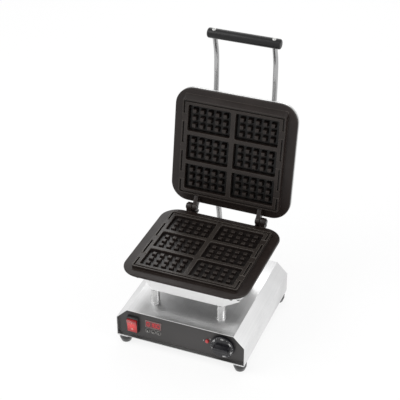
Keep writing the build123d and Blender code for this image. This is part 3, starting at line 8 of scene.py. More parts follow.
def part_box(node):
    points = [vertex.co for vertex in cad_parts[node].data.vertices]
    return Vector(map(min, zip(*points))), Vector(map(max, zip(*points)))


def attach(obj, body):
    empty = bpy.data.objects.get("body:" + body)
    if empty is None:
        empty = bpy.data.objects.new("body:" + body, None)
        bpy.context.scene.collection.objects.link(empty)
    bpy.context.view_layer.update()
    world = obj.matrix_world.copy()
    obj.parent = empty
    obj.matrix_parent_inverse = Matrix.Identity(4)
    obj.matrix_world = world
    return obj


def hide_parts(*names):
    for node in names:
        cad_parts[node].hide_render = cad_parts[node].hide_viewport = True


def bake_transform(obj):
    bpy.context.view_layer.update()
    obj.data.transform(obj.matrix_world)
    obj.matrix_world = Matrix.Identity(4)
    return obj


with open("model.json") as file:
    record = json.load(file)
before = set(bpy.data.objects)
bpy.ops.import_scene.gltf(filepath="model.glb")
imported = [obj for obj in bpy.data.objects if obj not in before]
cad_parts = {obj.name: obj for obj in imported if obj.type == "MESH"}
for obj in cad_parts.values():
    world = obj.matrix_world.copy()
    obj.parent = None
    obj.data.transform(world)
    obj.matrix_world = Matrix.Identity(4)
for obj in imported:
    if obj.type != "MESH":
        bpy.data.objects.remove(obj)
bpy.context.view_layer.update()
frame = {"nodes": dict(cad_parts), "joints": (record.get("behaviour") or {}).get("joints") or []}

nodes = frame["nodes"]

# The view of the machine
# A long lens from the front right, about 33 degrees above the worktop, as a
# catalogue picture of a countertop machine is taken.
LENS_MM = 103.96
SENSOR_MM = 36.0
VIEW_FROM = Vector((0.7860, -2.0448, 1.7187))
VIEW_AT = Vector((-0.0102, -0.0497, 0.3327))


def placed(name, data, place=(0.0, 0.0, 0.0), aim=None):
    """New object in the scene, turned towards a point where one is given."""
    thing = bpy.data.objects.new(name, data)
    thing.location = place
    if aim is not None:
        thing.rotation_euler = (Vector(aim) - Vector(place)).to_track_quat("-Z", "Y").to_euler()
    bpy.context.scene.collection.objects.link(thing)
    return thing


long_lens = bpy.data.cameras.new("camera")
long_lens.lens = LENS_MM
long_lens.sensor_width = SENSOR_MM
bpy.context.scene.camera = placed("camera", long_lens, VIEW_FROM, VIEW_AT)
bpy.context.scene.view_settings.view_transform = "Standard"

# Worktop and studio light
# A white worktop that runs out of the picture, a white room around it, and soft
# boxes: a large one high on the left, a second on the right and one behind.
WORKTOP_HALF = 6.0
WORKTOP_WHITE = (0.95, 0.95, 0.95)
WORKTOP_GLOW = 0.82
ROOM_LIGHT = 0.85
ROOM_LEVELS = {0.0: 0.42, 0.8: 1.0}
SOFT_BOX_AIM = (0.0, 0.0, 0.2)
SOFT_BOXES = {
    "high_left_box": ((-1.5, -1.0, 2.1), (1.6, 1.6), 25.0),
    "right_box": ((2.2, -0.6, 1.1), (0.9, 1.8), 16.0),
    "back_box": ((-0.4, 2.2, 1.8), (1.8, 0.9), 10.0),
}


def feed(tree, node, sockets):
    """Gives inputs of a node their values, and links those that are another node's output."""
    for label, value in sockets.items():
        socket = node.inputs[label]
        if isinstance(value, bpy.types.NodeSocket):
            tree.links.new(value, socket)
        elif socket.type == "RGBA":
            socket.default_value = (*value[:3], 1.0)
        else:
            socket.default_value = value


def add(tree, kind, sockets, **settings):
    """New node with plain settings and its inputs fed."""
    node = tree.nodes.new(kind)
    for name, value in settings.items():
        setattr(node, name, value)
    feed(tree, node, sockets)
    return node


def maths(tree, operation, first, second, clamp=False):
    """Result of a maths node on two values, each a socket or a number."""
    node = add(tree, "ShaderNodeMath", {0: first, 1: second}, operation=operation, use_clamp=clamp)
    return node.outputs[0]


def shown_to_eyes(tree, lighting, backdrop, share, output):
    """Camera, mirrors and glass see share of the backdrop; what lights the object stays."""
    path = add(tree, "ShaderNodeLightPath", {})
    seen = path.outputs["Is Camera Ray"]
    for kind in ("Is Glossy Ray", "Is Transmission Ray"):
        seen = maths(tree, "MAXIMUM", seen, path.outputs[kind])
    seen = maths(tree, "MULTIPLY", seen, share)
    sockets = {0: seen, 1: lighting.outputs[0], 2: backdrop.outputs[0]}
    mix = add(tree, "ShaderNodeMixShader", sockets)
    feed(tree, tree.nodes[output], {"Surface": mix.outputs[0]})


def finish_named(name):
    """New surface finish with its node tree and its shader."""
    finish = bpy.data.materials.new(name)
    finish.use_nodes = True
    return finish, finish.node_tree, finish.node_tree.nodes["Principled BSDF"]


room = bpy.data.worlds.new("white_room")
room.use_nodes = True
room_tree = room.node_tree
room_place = add(room_tree, "ShaderNodeTexCoord", {})
room_split = add(room_tree, "ShaderNodeSeparateXYZ", {0: room_place.outputs["Generated"]})
room_ramp = add(room_tree, "ShaderNodeValToRGB", {0: room_split.outputs["Z"]})
for stop, (position, level) in zip(room_ramp.color_ramp.elements, ROOM_LEVELS.items()):
    stop.position = position
    stop.color = (level, level, level, 1.0)
room_light = room_tree.nodes["Background"]
feed(room_tree, room_light, {"Color": room_ramp.outputs["Color"], "Strength": ROOM_LIGHT})
room_white = add(room_tree, "ShaderNodeBackground", {"Color": (1.0, 1.0, 1.0)})
shown_to_eyes(room_tree, room_light, room_white, 1.0, "World Output")
bpy.context.scene.world = room

worktop_paint, paint_tree, paint_shader = finish_named("white_worktop")
paint_plain = {"Base Color": WORKTOP_WHITE, "Roughness": 1.0, "Specular IOR Level": 0.0}
feed(paint_tree, paint_shader, paint_plain)
paint_white = add(paint_tree, "ShaderNodeEmission", {"Strength": 1.0})
shown_to_eyes(paint_tree, paint_shader, paint_white, WORKTOP_GLOW, "Material Output")
worktop_mesh = bmesh.new()
bmesh.ops.create_grid(worktop_mesh, x_segments=4, y_segments=4, size=WORKTOP_HALF)
worktop_data = bpy.data.meshes.new("worktop")
worktop_mesh.to_mesh(worktop_data)
worktop_mesh.free()
worktop_data.materials.append(worktop_paint)
worktop = placed("worktop", worktop_data)

for name, (place, size, power) in SOFT_BOXES.items():
    lamp = bpy.data.lights.new(name, "AREA")
    lamp.shape = "RECTANGLE"
    lamp.size, lamp.size_y = size
    lamp.energy = power
    placed(name, lamp, place, SOFT_BOX_AIM)

# Pressed stainless base
# One sheet of brushed 1.5 mm stainless steel, folded into sides, bevels and a flat
# deck, with a return along each bottom edge that the feet are screwed to.
SHEET = 0.0015
FOLD_R = 0.0028
FOLD_STEPS = 6
RETURN_W = 0.026
SIDE_H = 0.052
BEVEL_RUN = 0.0265
RIM_EASE = 0.0003
NEARLY_STRAIGHT = 0.001
NOISE = (0.3, 0.7)
GROOVE_SHARE, CLOUD_SHARE = 0.4, 0.6
GROOVE_SHINE = 0.03
SMEAR_SHINE = (-0.01, 0.025)
GROOVE_BUMP = 0.5
BEVEL_SAMPLES = 4
base_low, base_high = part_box("base_housing")
base_y = (base_low.y + base_high.y) / 2
deck_z = base_high.z
still = Matrix.Identity(4)


def softened(points, radius, steps=5, closed=True):
    """Outline with each corner turned into an arc; radius is one value or one per point."""
    count = len(points)
    radii = radius if isinstance(radius, (list, tuple)) else [radius] * count
    outline = []
    for i, point in enumerate(points):
        here = Vector(point)
        if not closed and i in (0, count - 1) or radii[i] <= 0:
            outline.append(here)
            continue
        back = (Vector(points[i - 1]) - here).normalized()
        ahead = (Vector(points[(i + 1) % count]) - here).normalized()
        half = back.angle(ahead) / 2
        if half > math.pi / 2 - NEARLY_STRAIGHT:
            outline.append(here)
            continue
        middle = here + (back + ahead).normalized() * radii[i] / math.sin(half)
        start = here + back * radii[i] / math.tan(half) - middle
        end = here + ahead * radii[i] / math.tan(half) - middle
        sweep = start.angle(end)
        for step in range(steps + 1):
            share = step / steps
            arm = start * math.sin((1 - share) * sweep) + end * math.sin(share * sweep)
            outline.append(middle + arm / math.sin(sweep))
    return outline


def skin(rings, closed=False):
    """Surface through rings of points: capped, or with its last ring joined to the first."""
    mesh = bmesh.new()
    loops = [[mesh.verts.new(point) for point in ring] for ring in rings]
    pairs = list(zip(loops, loops[1:]))
    if closed:
        pairs.append((loops[-1], loops[0]))
    for low_loop, high_loop in pairs:
        for i in range(len(low_loop)):
            j = (i + 1) % len(low_loop)
            mesh.faces.new((low_loop[i], low_loop[j], high_loop[j], high_loop[i]))
    if not closed:
        mesh.faces.new(list(reversed(loops[0])))
        mesh.faces.new(loops[-1])
    bmesh.ops.recalc_face_normals(mesh, faces=mesh.faces)
    return mesh


def eased(mesh, width, steps=2, above=50.0):
    """Rounds the edges whose faces turn by more than above degrees."""
    mesh.normal_update()
    sharp = []
    for edge in mesh.edges:
        if len(edge.link_faces) == 2 and edge.calc_face_angle() > math.radians(above):
            sharp.append(edge)
    bmesh.ops.bevel(
        mesh, geom=sharp, offset=width, segments=steps, profile=0.5, affect="EDGES",
        clamp_overlap=True,
    )
    return mesh


def fitted(name, parts, finish, body, replaced=(), turn=still, smooth=32.0):
    """One piece joined from its meshes, turned, shaded and finished.

    It rides on its body, unless that is None, and replaces the CAD nodes that it stands for.
    Edges that turn by more than smooth degrees stay sharp.
    """
    whole = bmesh.new()
    for part in parts:
        if isinstance(part, bmesh.types.BMesh):
            part_data = bpy.data.meshes.new(name)
            part.to_mesh(part_data)
            part.free()
        else:
            part_data = part
        whole.from_mesh(part_data)
        bpy.data.meshes.remove(part_data)
    data = bpy.data.meshes.new(name)
    whole.to_mesh(data)
    whole.free()
    data.transform(turn)
    data.materials.clear()
    data.materials.append(finish)
    data.shade_smooth()
    data.set_sharp_from_angle(angle=math.radians(smooth))
    piece = placed(name, data)
    if body:
        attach(piece, body)
    if replaced:
        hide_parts(*replaced)
    return piece


def span(tree, value, given=NOISE, wanted=(0.0, 1.0)):
    """Value carried from the given range to the wanted one, held at the ends."""
    sockets = {"Value": value, "From Min": given[0], "From Max": given[1]}
    sockets.update({"To Min": wanted[0], "To Max": wanted[1]})
    return add(tree, "ShaderNodeMapRange", sockets, clamp=True).outputs["Result"]


def blended(tree, share, first, second):
    """Mix of two colours, each a socket or a colour."""
    return add(tree, "ShaderNodeMix", {0: share, 6: first, 7: second}, data_type="RGBA").outputs[2]


def bumped(tree, shader, height, depth, strength, round_r=0.0):
    """Fine relief from a height between 0 and 1, over edges rounded by round_r."""
    sockets = {"Height": height, "Distance": depth, "Strength": strength}
    bump = add(tree, "ShaderNodeBump", sockets)
    if round_r:
        edge = add(tree, "ShaderNodeBevel", {"Radius": round_r}, samples=BEVEL_SAMPLES)
        feed(tree, bump, {"Normal": edge.outputs["Normal"]})
    feed(tree, shader, {"Normal": bump.outputs["Normal"]})


def noise_effect(name, inputs, outputs):
    """Shader node group with its sockets, its two ends and the place on the object."""
    group = bpy.data.node_groups.new(name, "ShaderNodeTree")
    for label, (kind, value) in inputs.items():
        socket = group.interface.new_socket(label, in_out="INPUT", socket_type=kind)
        socket.default_value = value
    for label in outputs:
        group.interface.new_socket(label, in_out="OUTPUT", socket_type="NodeSocketFloat")
    given = group.nodes.new("NodeGroupInput").outputs
    place = add(group, "ShaderNodeTexCoord", {}).outputs["Object"]
    return group, given, place, group.nodes.new("NodeGroupOutput")


def noises_to(group, result, layers):
    """One noise texture for each output of a group, from its texture's values."""
    for label, sockets in layers.items():
        noise = add(group, "ShaderNodeTexNoise", sockets)
        feed(group, result, {label: noise.outputs["Fac"]})


# The brushing of sheet steel: fine grooves along one direction, slow clouds and smears.
brushing, brush_given, brush_place, brush_result = noise_effect(
    "brushing",
    {
        "Run": ("NodeSocketVector", (6.0, 900.0, 900.0)),
        "Cloud Scale": ("NodeSocketFloat", 7.0),
    },
    ("Groove", "Cloud", "Smear"),
)
brush_run = add(
    brushing, "ShaderNodeVectorMath", {0: brush_place, 1: brush_given["Run"]}, operation="MULTIPLY"
)
noises_to(
    brushing,
    brush_result,
    {
        "Groove": {"Vector": brush_run.outputs[0], "Scale": 1.0, "Detail": 5.0, "Roughness": 0.62},
        "Cloud": {"Vector": brush_place, "Scale": brush_given["Cloud Scale"], "Detail": 3.0},
        "Smear": {"Vector": brush_place, "Scale": 34.0, "Detail": 6.0, "Distortion": 1.3},
    },
)


def brushed_steel(name, dark, light, run, roughness, cloud=7.0, groove_depth=0.00002, round_r=0.0):
    """Stainless steel brushed along the direction where run is small."""
    finish, tree, shader = finish_named(name)
    sockets = {"Run": run, "Cloud Scale": cloud}
    effect = add(tree, "ShaderNodeGroup", sockets, node_tree=brushing).outputs
    tone = maths(
        tree,
        "ADD",
        maths(tree, "MULTIPLY", span(tree, effect["Groove"]), GROOVE_SHARE),
        maths(tree, "MULTIPLY", span(tree, effect["Cloud"], (0.35, 0.65)), CLOUD_SHARE),
    )
    rough = maths(
        tree,
        "ADD",
        span(tree, effect["Groove"], NOISE, (roughness - GROOVE_SHINE, roughness + GROOVE_SHINE)),
        span(tree, effect["Smear"], (0.35, 0.7), SMEAR_SHINE),
    )
    colour = blended(tree, tone, dark, light)
    feed(tree, shader, {"Base Color": colour, "Roughness": rough, "Metallic": 1.0})
    bumped(tree, shader, effect["Groove"], groove_depth, GROOVE_BUMP, round_r)
    return finish


housing_steel = brushed_steel(
    "brushed_stainless", (0.61, 0.61, 0.615), (0.82, 0.82, 0.82), (700.0, 4.0, 700.0), 0.32
)


def housing_path(inset):
    """Outline of the folded sheet in x and z, between its two returns, pulled in by inset."""
    lean = math.atan2(deck_z - base_low.z - SIDE_H, BEVEL_RUN)
    side = base_high.x - inset
    shoulder = base_low.z + SIDE_H - inset * math.tan(lean / 2)
    deck = base_high.x - BEVEL_RUN - inset * math.tan(lean / 2)
    lip = base_high.x - RETURN_W
    bottom = base_low.z + inset
    right = [(lip, bottom), (side, bottom), (side, shoulder), (deck, deck_z - inset)]
    return right + [(-x, z) for x, z in reversed(right)]


outer_sheet = softened(housing_path(0.0), FOLD_R, FOLD_STEPS, closed=False)
inner_sheet = softened(housing_path(SHEET), FOLD_R - SHEET, FOLD_STEPS, closed=False)
housing_rings = []
for outer, inner in zip(outer_sheet, inner_sheet):
    front = [(p.x, base_low.y, p.y) for p in (outer, inner)]
    housing_rings.append(front + [(p.x, base_high.y, p.y) for p in (inner, outer)])
housing = eased(skin(housing_rings), RIM_EASE)
fitted("folded_housing", [housing], housing_steel, "base", ["base_housing"])

# Floor plate, end panels and their screws
# A plain sheet closes the bottom, and a folded panel closes each end: powder-coated
# charcoal in front, bare steel behind, each held by two screws through its lip.
CHARCOAL = (0.040, 0.037, 0.0365)
CHARCOAL_LIGHT = tuple(1.16 * level for level in CHARCOAL)
EDGE_ROUND_R = 0.0004
CLOUD_SHINE = 0.05
GRAIN_SHINE = 0.04
GRAIN_BUMP = 0.6
LACQUER_ROUGH = 0.12

# Cast and moulded skins: a fine pebble with slow changes of tone and shine.
pebble, pebble_given, pebble_place, pebble_result = noise_effect(
    "pebble",
    {"Scale": ("NodeSocketFloat", 900.0), "Cloud Scale": ("NodeSocketFloat", 14.0)},
    ("Grain", "Cloud"),
)
noises_to(
    pebble,
    pebble_result,
    {
        "Grain": {"Vector": pebble_place, "Scale": pebble_given["Scale"], "Detail": 3.0},
        "Cloud": {"Vector": pebble_place, "Scale": pebble_given["Cloud Scale"], "Detail": 4.0},
    },
)


def grained(name, scale, cloud):
    """New finish with its tree, its shader and the pebble's grain and cloud in it."""
    finish, tree, shader = finish_named(name)
    sockets = {"Scale": scale, "Cloud Scale": cloud}
    effect = add(tree, "ShaderNodeGroup", sockets, node_tree=pebble).outputs
    return finish, tree, shader, effect["Grain"], effect["Cloud"]


def pebbled(
    name, dark, light, roughness, scale=900.0, depth=0.00003, cloud=14.0, metal=0.0,
    coat=0.0, round_r=0.0, gloss=0.5,
):
    """Painted, moulded or plated surface with a fine pebble and uneven shine."""
    finish, tree, shader, grain, clouds = grained(name, scale, cloud)
    rough = maths(
        tree,
        "ADD",
        span(tree, clouds, NOISE, (roughness + CLOUD_SHINE, roughness - CLOUD_SHINE)),
        span(tree, grain, NOISE, (-GRAIN_SHINE, GRAIN_SHINE)),
    )
    sockets = {
        "Base Color": blended(tree, span(tree, clouds, (0.32, 0.68)), dark, light),
        "Roughness": rough,
        "Metallic": metal,
        "Specular IOR Level": gloss,
        "Coat Weight": coat,
        "Coat Roughness": LACQUER_ROUGH,
    }
    feed(tree, shader, sockets)
    bumped(tree, shader, grain, depth, GRAIN_BUMP, round_r)
    return finish


def dressed(node_names, finish):
    """Gives CAD parts that stay as they are their real finish."""
    for name in node_names:
        part = nodes[name]
        part.data.materials.clear()
        part.data.materials.append(finish)


plain_steel = brushed_steel(
    "plain_stainless", (0.50, 0.50, 0.50), (0.66, 0.66, 0.655), (9.0, 700.0, 700.0), 0.30,
    cloud=5.0, round_r=EDGE_ROUND_R,
)
panel_paint = pebbled(
    "charcoal_powder_coat", CHARCOAL, CHARCOAL_LIGHT, 0.42, 1500.0, 0.00003, 9.0,
    round_r=EDGE_ROUND_R,
)
zinc = pebbled(
    "zinc_plate", (0.46, 0.46, 0.45), (0.62, 0.62, 0.60), 0.32, 500.0, 0.00002, 60.0, 1.0,
    round_r=EDGE_ROUND_R,
)
dressed(["bottom_plate", "rear_panel"], plain_steel)
dressed(["front_panel"], panel_paint)
dressed(["panel_screws", "foot_screws", "foot_nuts"], zinc)

# Rubber feet
# Four moulded rubber cups under the corners, widest at mid height, each held by a
# machine screw up through a recess in its sole.
FOOT_R = 0.0152
FOOT_BELLY_Z = 0.0105
SOLE_R = 0.0115
FOOT_RECESS_R = 0.0055
FOOT_RECESS_H = 0.011
FOOT_INSET_X = 0.0154
FOOT_INSET_Y = 0.016
FOOT_ROUNDS = [0.0008, 0.0016, 0.0075, 0.0022, 0.0002, 0.0002]


def round_ring(radius, z, sides):
    """Level ring of points about the upright axis."""
    angles = [2 * math.pi * step / sides for step in range(sides)]
    return [Vector((radius * math.cos(angle), radius * math.sin(angle), z)) for angle in angles]


def turned(profile, place=still, sides=56, hollow=True):
    """Round body from (radius, height) points: closed through its bore, or capped."""
    rings = [[place @ point for point in round_ring(*spot, sides)] for spot in profile]
    return skin(rings, closed=hollow)


def front_and_back(x, y, middle_y):
    """The four places at plus and minus x and y about a middle."""
    return [Vector((sx * x, middle_y + sy * y, 0.0)) for sy in (-1, 1) for sx in (-1, 1)]


foot_rubber = pebbled(
    "foot_rubber", (0.012, 0.012, 0.012), (0.022, 0.022, 0.023), 0.3, 1100.0, 0.00002, 40.0,
    coat=0.35,
)
foot_section = [
    (FOOT_RECESS_R, 0.0),
    (SOLE_R, 0.0),
    (FOOT_R, FOOT_BELLY_Z),
    (FOOT_R, base_low.z),
    (FOOT_RECESS_R, base_low.z),
    (FOOT_RECESS_R, FOOT_RECESS_H),
]
foot_profile = softened(foot_section, FOOT_ROUNDS, 6)
foot_spots = front_and_back(
    base_high.x - FOOT_INSET_X, base_high.y - base_y - FOOT_INSET_Y, base_y
)
feet = [turned(foot_profile, Matrix.Translation(spot)) for spot in foot_spots]
fitted("rubber_cups", feet, foot_rubber, "base", ["rubber_feet"])

# Spacer posts
# Four turned stainless posts hold the hot plate clear of the deck. Each has a small
# foot flange and is clamped by a hollow stud that also carries the wiring.
POST_X = 0.0795
POST_Y = 0.091
POST_R = 0.0096
POST_FOOT_R = 0.011
POST_FOOT_H = 0.003
POST_BORE_R = 0.005
POST_ROUNDS = [0.0002, 0.0004, 0.0008, 0.0004, 0.0005, 0.0002]
pan_low, pan_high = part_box("plate_carrier")
plate_y = (pan_low.y + pan_high.y) / 2
pan_top_z = pan_high.z

turned_steel = brushed_steel(
    "turned_stainless", (0.50, 0.50, 0.50), (0.62, 0.62, 0.615), (60.0, 60.0, 2600.0), 0.26,
    cloud=12.0, groove_depth=0.000003,
)
post_h = pan_low.z - deck_z
post_section = [
    (POST_BORE_R, 0.0),
    (POST_FOOT_R, 0.0),
    (POST_FOOT_R, POST_FOOT_H),
    (POST_R, POST_FOOT_H),
    (POST_R, post_h),
    (POST_BORE_R, post_h),
]
post_profile = softened(post_section, POST_ROUNDS, 4)
posts = []
for spot in front_and_back(POST_X, POST_Y, plate_y):
    posts.append(turned(post_profile, Matrix.Translation(spot + Vector((0, 0, deck_z)))))
fitted("spacer_posts", posts, turned_steel, "base", ["post_spacers"])
dressed(["post_tubes", "post_nuts"], zinc)

# Carrier pan
# A pan of stainless sheet with cut corners under the lower plate. It shields the
# heating element and is folded up from one blank, its corners welded.
PAN_CUT = 0.029
PAN_FOLD_R = 0.0035
PAN_CORNER_R = 0.0006


def pan_plan(inset):
    """Plan of the pan, eight corners, pulled in by inset."""
    wide = pan_high.x - inset
    deep = pan_high.y - plate_y - inset
    cut = PAN_CUT - inset * (2 - math.sqrt(2))
    corner = [(wide, deep - cut), (wide - cut, deep)]
    plan = corner + [(-x, y) for x, y in reversed(corner)] + [(-x, -y) for x, y in corner]
    return plan + [(x, -y) for x, y in reversed(corner)]


def plan_ring(plan, radius, z, steps=4):
    """Level ring at z of a plan about the plates' middle, its corners rounded."""
    return [(p.x, plate_y + p.y, z) for p in softened(plan, radius, steps)]


pan_steel = brushed_steel(
    "pan_stainless", (0.76, 0.76, 0.76), (0.84, 0.84, 0.835), (12.0, 12.0, 700.0), 0.42, cloud=6.0
)
pan_section = [
    (PAN_FOLD_R * 2, pan_low.z),
    (0.0, pan_low.z),
    (0.0, pan_top_z),
    (SHEET, pan_top_z),
    (SHEET, pan_low.z + SHEET),
    (PAN_FOLD_R * 2, pan_low.z + SHEET),
]
pan_rounds = [0.0, PAN_FOLD_R, RIM_EASE, RIM_EASE, PAN_FOLD_R - SHEET, 0.0]
pan_rings = []
for p in softened(pan_section, pan_rounds, 4, closed=False):
    pan_rings.append(plan_ring(pan_plan(p.x), max(PAN_FOLD_R - p.x, PAN_CORNER_R), p.y))
fitted("carrier_pan", [skin(pan_rings)], pan_steel, "base", ["plate_carrier"])

# Corner brackets, studs and nuts
# A bent steel bracket is welded to each cut corner of the pan. Two studs hang from the
# casting through its ear and are pulled down by washers and nuts.
BRACKET_T = 0.003
BRACKET_LEG_H = 0.028
STUD_SPOTS = ((0.111, 0.115), (0.126, 0.110))
STUD_R = 0.003
STUD_TIP_R = 0.75 * STUD_R
STUD_TIP_H = 0.3 * STUD_R
STUD_IN_CASTING = 0.010
STUD_TAIL = 0.003
STUD_NUT_AF = 0.010
STUD_NUT_H = 0.005
WASHER_R = 0.0065
WASHER_T = 0.001
WASHER_EASE = 0.0002
# Corners of a bracket's ear about the first and the second stud, and their rounding.
EAR_CORNERS = (
    (STUD_SPOTS[0], -0.010, 0.0065),
    (STUD_SPOTS[0], 0.006, 0.0085),
    (STUD_SPOTS[1], 0.008, 0.007),
    (STUD_SPOTS[1], 0.011, -0.002),
)
BRACKET_ROUNDS = [0.0, 0.004, 0.006, 0.004, 0.004, 0.0]
NUT_SIDES = 48
NUT_FACE = 0.985
NUT_CHAMFER = 0.55
CORNERS = [(side, end) for side in (-1, 1) for end in (-1, 1)]


def oblong(near, far, low_z, high_z):
    """Corners of a rectangle: half the section of a tube or a bar, or the side of a block."""
    return [(near, low_z), (far, low_z), (far, high_z), (near, high_z)]


def upright(outline, z_low, z_high):
    """Piece of sheet between two levels with eased edges."""
    rings = [[(x, y, z) for x, y in outline] for z in (z_low, z_high)]
    return eased(skin(rings), RIM_EASE)


def hex_ring(across_flats, z, limit):
    """Ring of a hexagon, cut back to limit where its corners are chamfered."""
    ring = []
    for step in range(NUT_SIDES):
        angle = 2 * math.pi * step / NUT_SIDES
        off = (angle + math.pi / 6) % (math.pi / 3) - math.pi / 6
        radius = min(across_flats / 2 / math.cos(off), limit)
        ring.append(Vector((radius * math.cos(angle), radius * math.sin(angle), z)))
    return ring


def hex_nut(across_flats, height, place, bore):
    """Hexagon nut about its bore, with both ends chamfered."""
    full = across_flats / 2 / math.cos(math.pi / 6)
    face = NUT_FACE * across_flats / 2
    chamfer = (full - face) * NUT_CHAMFER
    rings = [round_ring(bore, 0.0, NUT_SIDES)]
    for z, limit in ((0.0, face), (chamfer, full), (height - chamfer, full), (height, face)):
        rings.append(hex_ring(across_flats, z, limit))
    rings.append(round_ring(bore, height, NUT_SIDES))
    return skin([[place @ point for point in ring] for ring in rings], closed=True)


bracket_parts, stud_parts, nut_parts = [], [], []
pan_x, pan_y = pan_high.x, pan_high.y - plate_y
leg_step = BRACKET_T / math.sqrt(2)
inner = (pan_x - PAN_CUT, pan_y)
outer = (pan_x, pan_y - PAN_CUT)
ear_plan = [inner, *((spot[0] + x, spot[1] + y) for spot, x, y in EAR_CORNERS), outer]
ear_plan = softened(ear_plan, BRACKET_ROUNDS)
leg_plan = [
    (inner[0] + leg_step, inner[1] - leg_step),
    (outer[0] - leg_step, outer[1] + leg_step),
    (outer[0], outer[1] + 2 * leg_step),
    (inner[0] + 2 * leg_step, inner[1]),
]
washer_z = pan_top_z - BRACKET_T - WASHER_T
washer = softened(oblong(STUD_R, WASHER_R, washer_z, washer_z + WASHER_T), WASHER_EASE, 2)
tip_z = washer_z - STUD_NUT_H - STUD_TAIL
stud = [(STUD_TIP_R, tip_z), (STUD_R, tip_z + STUD_TIP_H), (STUD_R, pan_top_z + STUD_IN_CASTING)]
for side, end in CORNERS:
    ear, leg = [[(side * x, plate_y + end * y) for x, y in plan] for plan in (ear_plan, leg_plan)]
    bracket_parts.append(upright(ear, pan_top_z - BRACKET_T, pan_top_z))
    bracket_parts.append(upright(leg, pan_top_z - BRACKET_LEG_H, pan_top_z - BRACKET_T / 2))
    for x, y in STUD_SPOTS:
        spot = Matrix.Translation((side * x, plate_y + end * y, 0.0))
        stud_parts.append(turned(stud, spot, 24, hollow=False))
        nut_parts.append(turned(washer, spot, 40))
        nut_place = spot @ Matrix.Translation((0, 0, washer_z - STUD_NUT_H))
        nut_parts.append(hex_nut(STUD_NUT_AF, STUD_NUT_H, nut_place, STUD_R))
dark_steel = pebbled(
    "oiled_steel", (0.10, 0.10, 0.10), (0.17, 0.17, 0.165), 0.35, 700.0, 0.00002, 60.0, 1.0
)
fitted("corner_brackets", bracket_parts, pan_steel, "base", ["plate_brackets"])
fitted("casting_studs", stud_parts, dark_steel, "base", ["plate_studs"])
fitted("stud_nuts", nut_parts, dark_steel, "base", ["plate_nuts"])

# Cooking plates
# Two aluminium castings with a baked dark non-stick coat. Each has six cavities with
# fifteen studs, a grease groove round them, a stick seat at each cavity and a broad flange.
FLANGE_HALF = (0.1485, 0.1415)
FLANGE_R = 0.044
FLANGE_EDGE_R = 0.0024
FLANGE_RIM_W = 0.040
LOWER_FLANGE_T = 0.006
UPPER_FLANGE_T = 0.007
ROUND_STEPS = 14
WEB_HALF = (0.118, 0.111)
WEB_R = 0.030
WEB_DROP = 0.008
WEB_INTO_FLANGE = 0.003
WEB_EASE = 0.001
BLOCK_HALF = (0.125, 0.118)
BLOCK_R = 0.006
LOWER_WALL = 0.007
UPPER_WALL = 0.014
LOWER_SLOPES = (0.0003, 0.0003, 0.0003)
UPPER_SLOPES = (0.001, 0.009, 0.0015)
WALL_INTO_FLANGE = 0.002
CAVITY_HALF = (0.0525, 0.032)
CAVITY_DEPTH = 0.0135
CAVITY_DRAFT = 0.002
CAVITY_R = 0.004
CAVITY_CORNER_FADE = 0.9 * CAVITY_R
CAVITY_X = 0.058
CAVITY_PITCH = 0.073
STUD_PITCH = (0.0187, 0.0179)
STUD_TOP = 0.00425
STUD_FOOT = 0.006
STUD_DOWN = 0.001
GROOVE_OUT = (0.122, 0.115)
GROOVE_W = 0.004
GROOVE_DEPTH = 0.004
BRIDGE_HALF = 0.0105
SEAT_HALF = 0.009
SEAT_DEPTH = 0.0009
CAST_EDGE = 0.00055
STEEP = 0.0003
FACE_GAP = 0.0008
BOSS_R = 0.007
BOSS_INTO_FLANGE = 0.001
BOSS_EASE = 0.0006
HAIR = 1e-7
LEAST_LINE_GAP = 0.00009
AXIS = 0.0001

flange_z = pan_top_z + WEB_DROP
face_z = flange_z + LOWER_FLANGE_T + LOWER_WALL
upper_face_z = face_z + FACE_GAP
upper_flange_z = upper_face_z + UPPER_WALL
hood_z = upper_flange_z + UPPER_FLANGE_T
row_ys = [-CAVITY_PITCH, 0.0, CAVITY_PITCH]
stud_xs = [side * CAVITY_X + i * STUD_PITCH[0] for side in (-1, 1) for i in (-2, -1, 0, 1, 2)]
stud_ys = [row + i * STUD_PITCH[1] for row in row_ys for i in (-1, 0, 1)]

hinge_joint = next(joint for joint in frame["joints"] if joint["name"] == "lid_hinge")
hinge = Vector(hinge_joint["pos_m"])
lid_swing = Matrix.Rotation(-math.radians(hinge_joint["range_deg"][1]), 4, "X")
lid_opened = Matrix.Translation(hinge) @ lid_swing @ Matrix.Translation(-hinge)


def on_lid(name, parts, finish, replaced):
    """Piece made where it lies when the lid is closed, and opened with the lid."""
    return fitted(name, parts, finish, "lid", replaced, lid_opened)


def held(value):
    """Value held between 0 and 1."""
    return min(1.0, max(0.0, value))


def face_height(x, y):
    """Height of the cooking face about its rim, below zero in cavities and grooves."""
    height = 0.0
    row = min(row_ys, key=lambda r: abs(r - y))
    beyond_groove = max(abs(x) - GROOVE_OUT[0], abs(y) - GROOVE_OUT[1])
    if STEEP - GROOVE_W <= beyond_groove < -HAIR:
        on_side = abs(x) - GROOVE_OUT[0] > HAIR - GROOVE_W - STEEP
        if not (on_side and abs(y - row) < BRIDGE_HALF):
            height = -GROOVE_DEPTH
    if abs(x) > CAVITY_X + CAVITY_HALF[0] - HAIR and abs(y - row) < SEAT_HALF - HAIR:
        height = min(height, -SEAT_DEPTH)
    rim = max(abs(abs(x) - CAVITY_X) - CAVITY_HALF[0], abs(y - row) - CAVITY_HALF[1])
    if rim < 0:
        floor = min(CAVITY_DEPTH, -rim * CAVITY_DEPTH / CAVITY_DRAFT)
        reach = max(min(abs(x - sx) for sx in stud_xs), min(abs(y - sy) for sy in stud_ys))
        rise = held((STUD_FOOT - reach) / (STUD_FOOT - STUD_TOP))
        height = max(-floor, -CAVITY_DEPTH + rise * (CAVITY_DEPTH - STUD_DOWN))
    return height


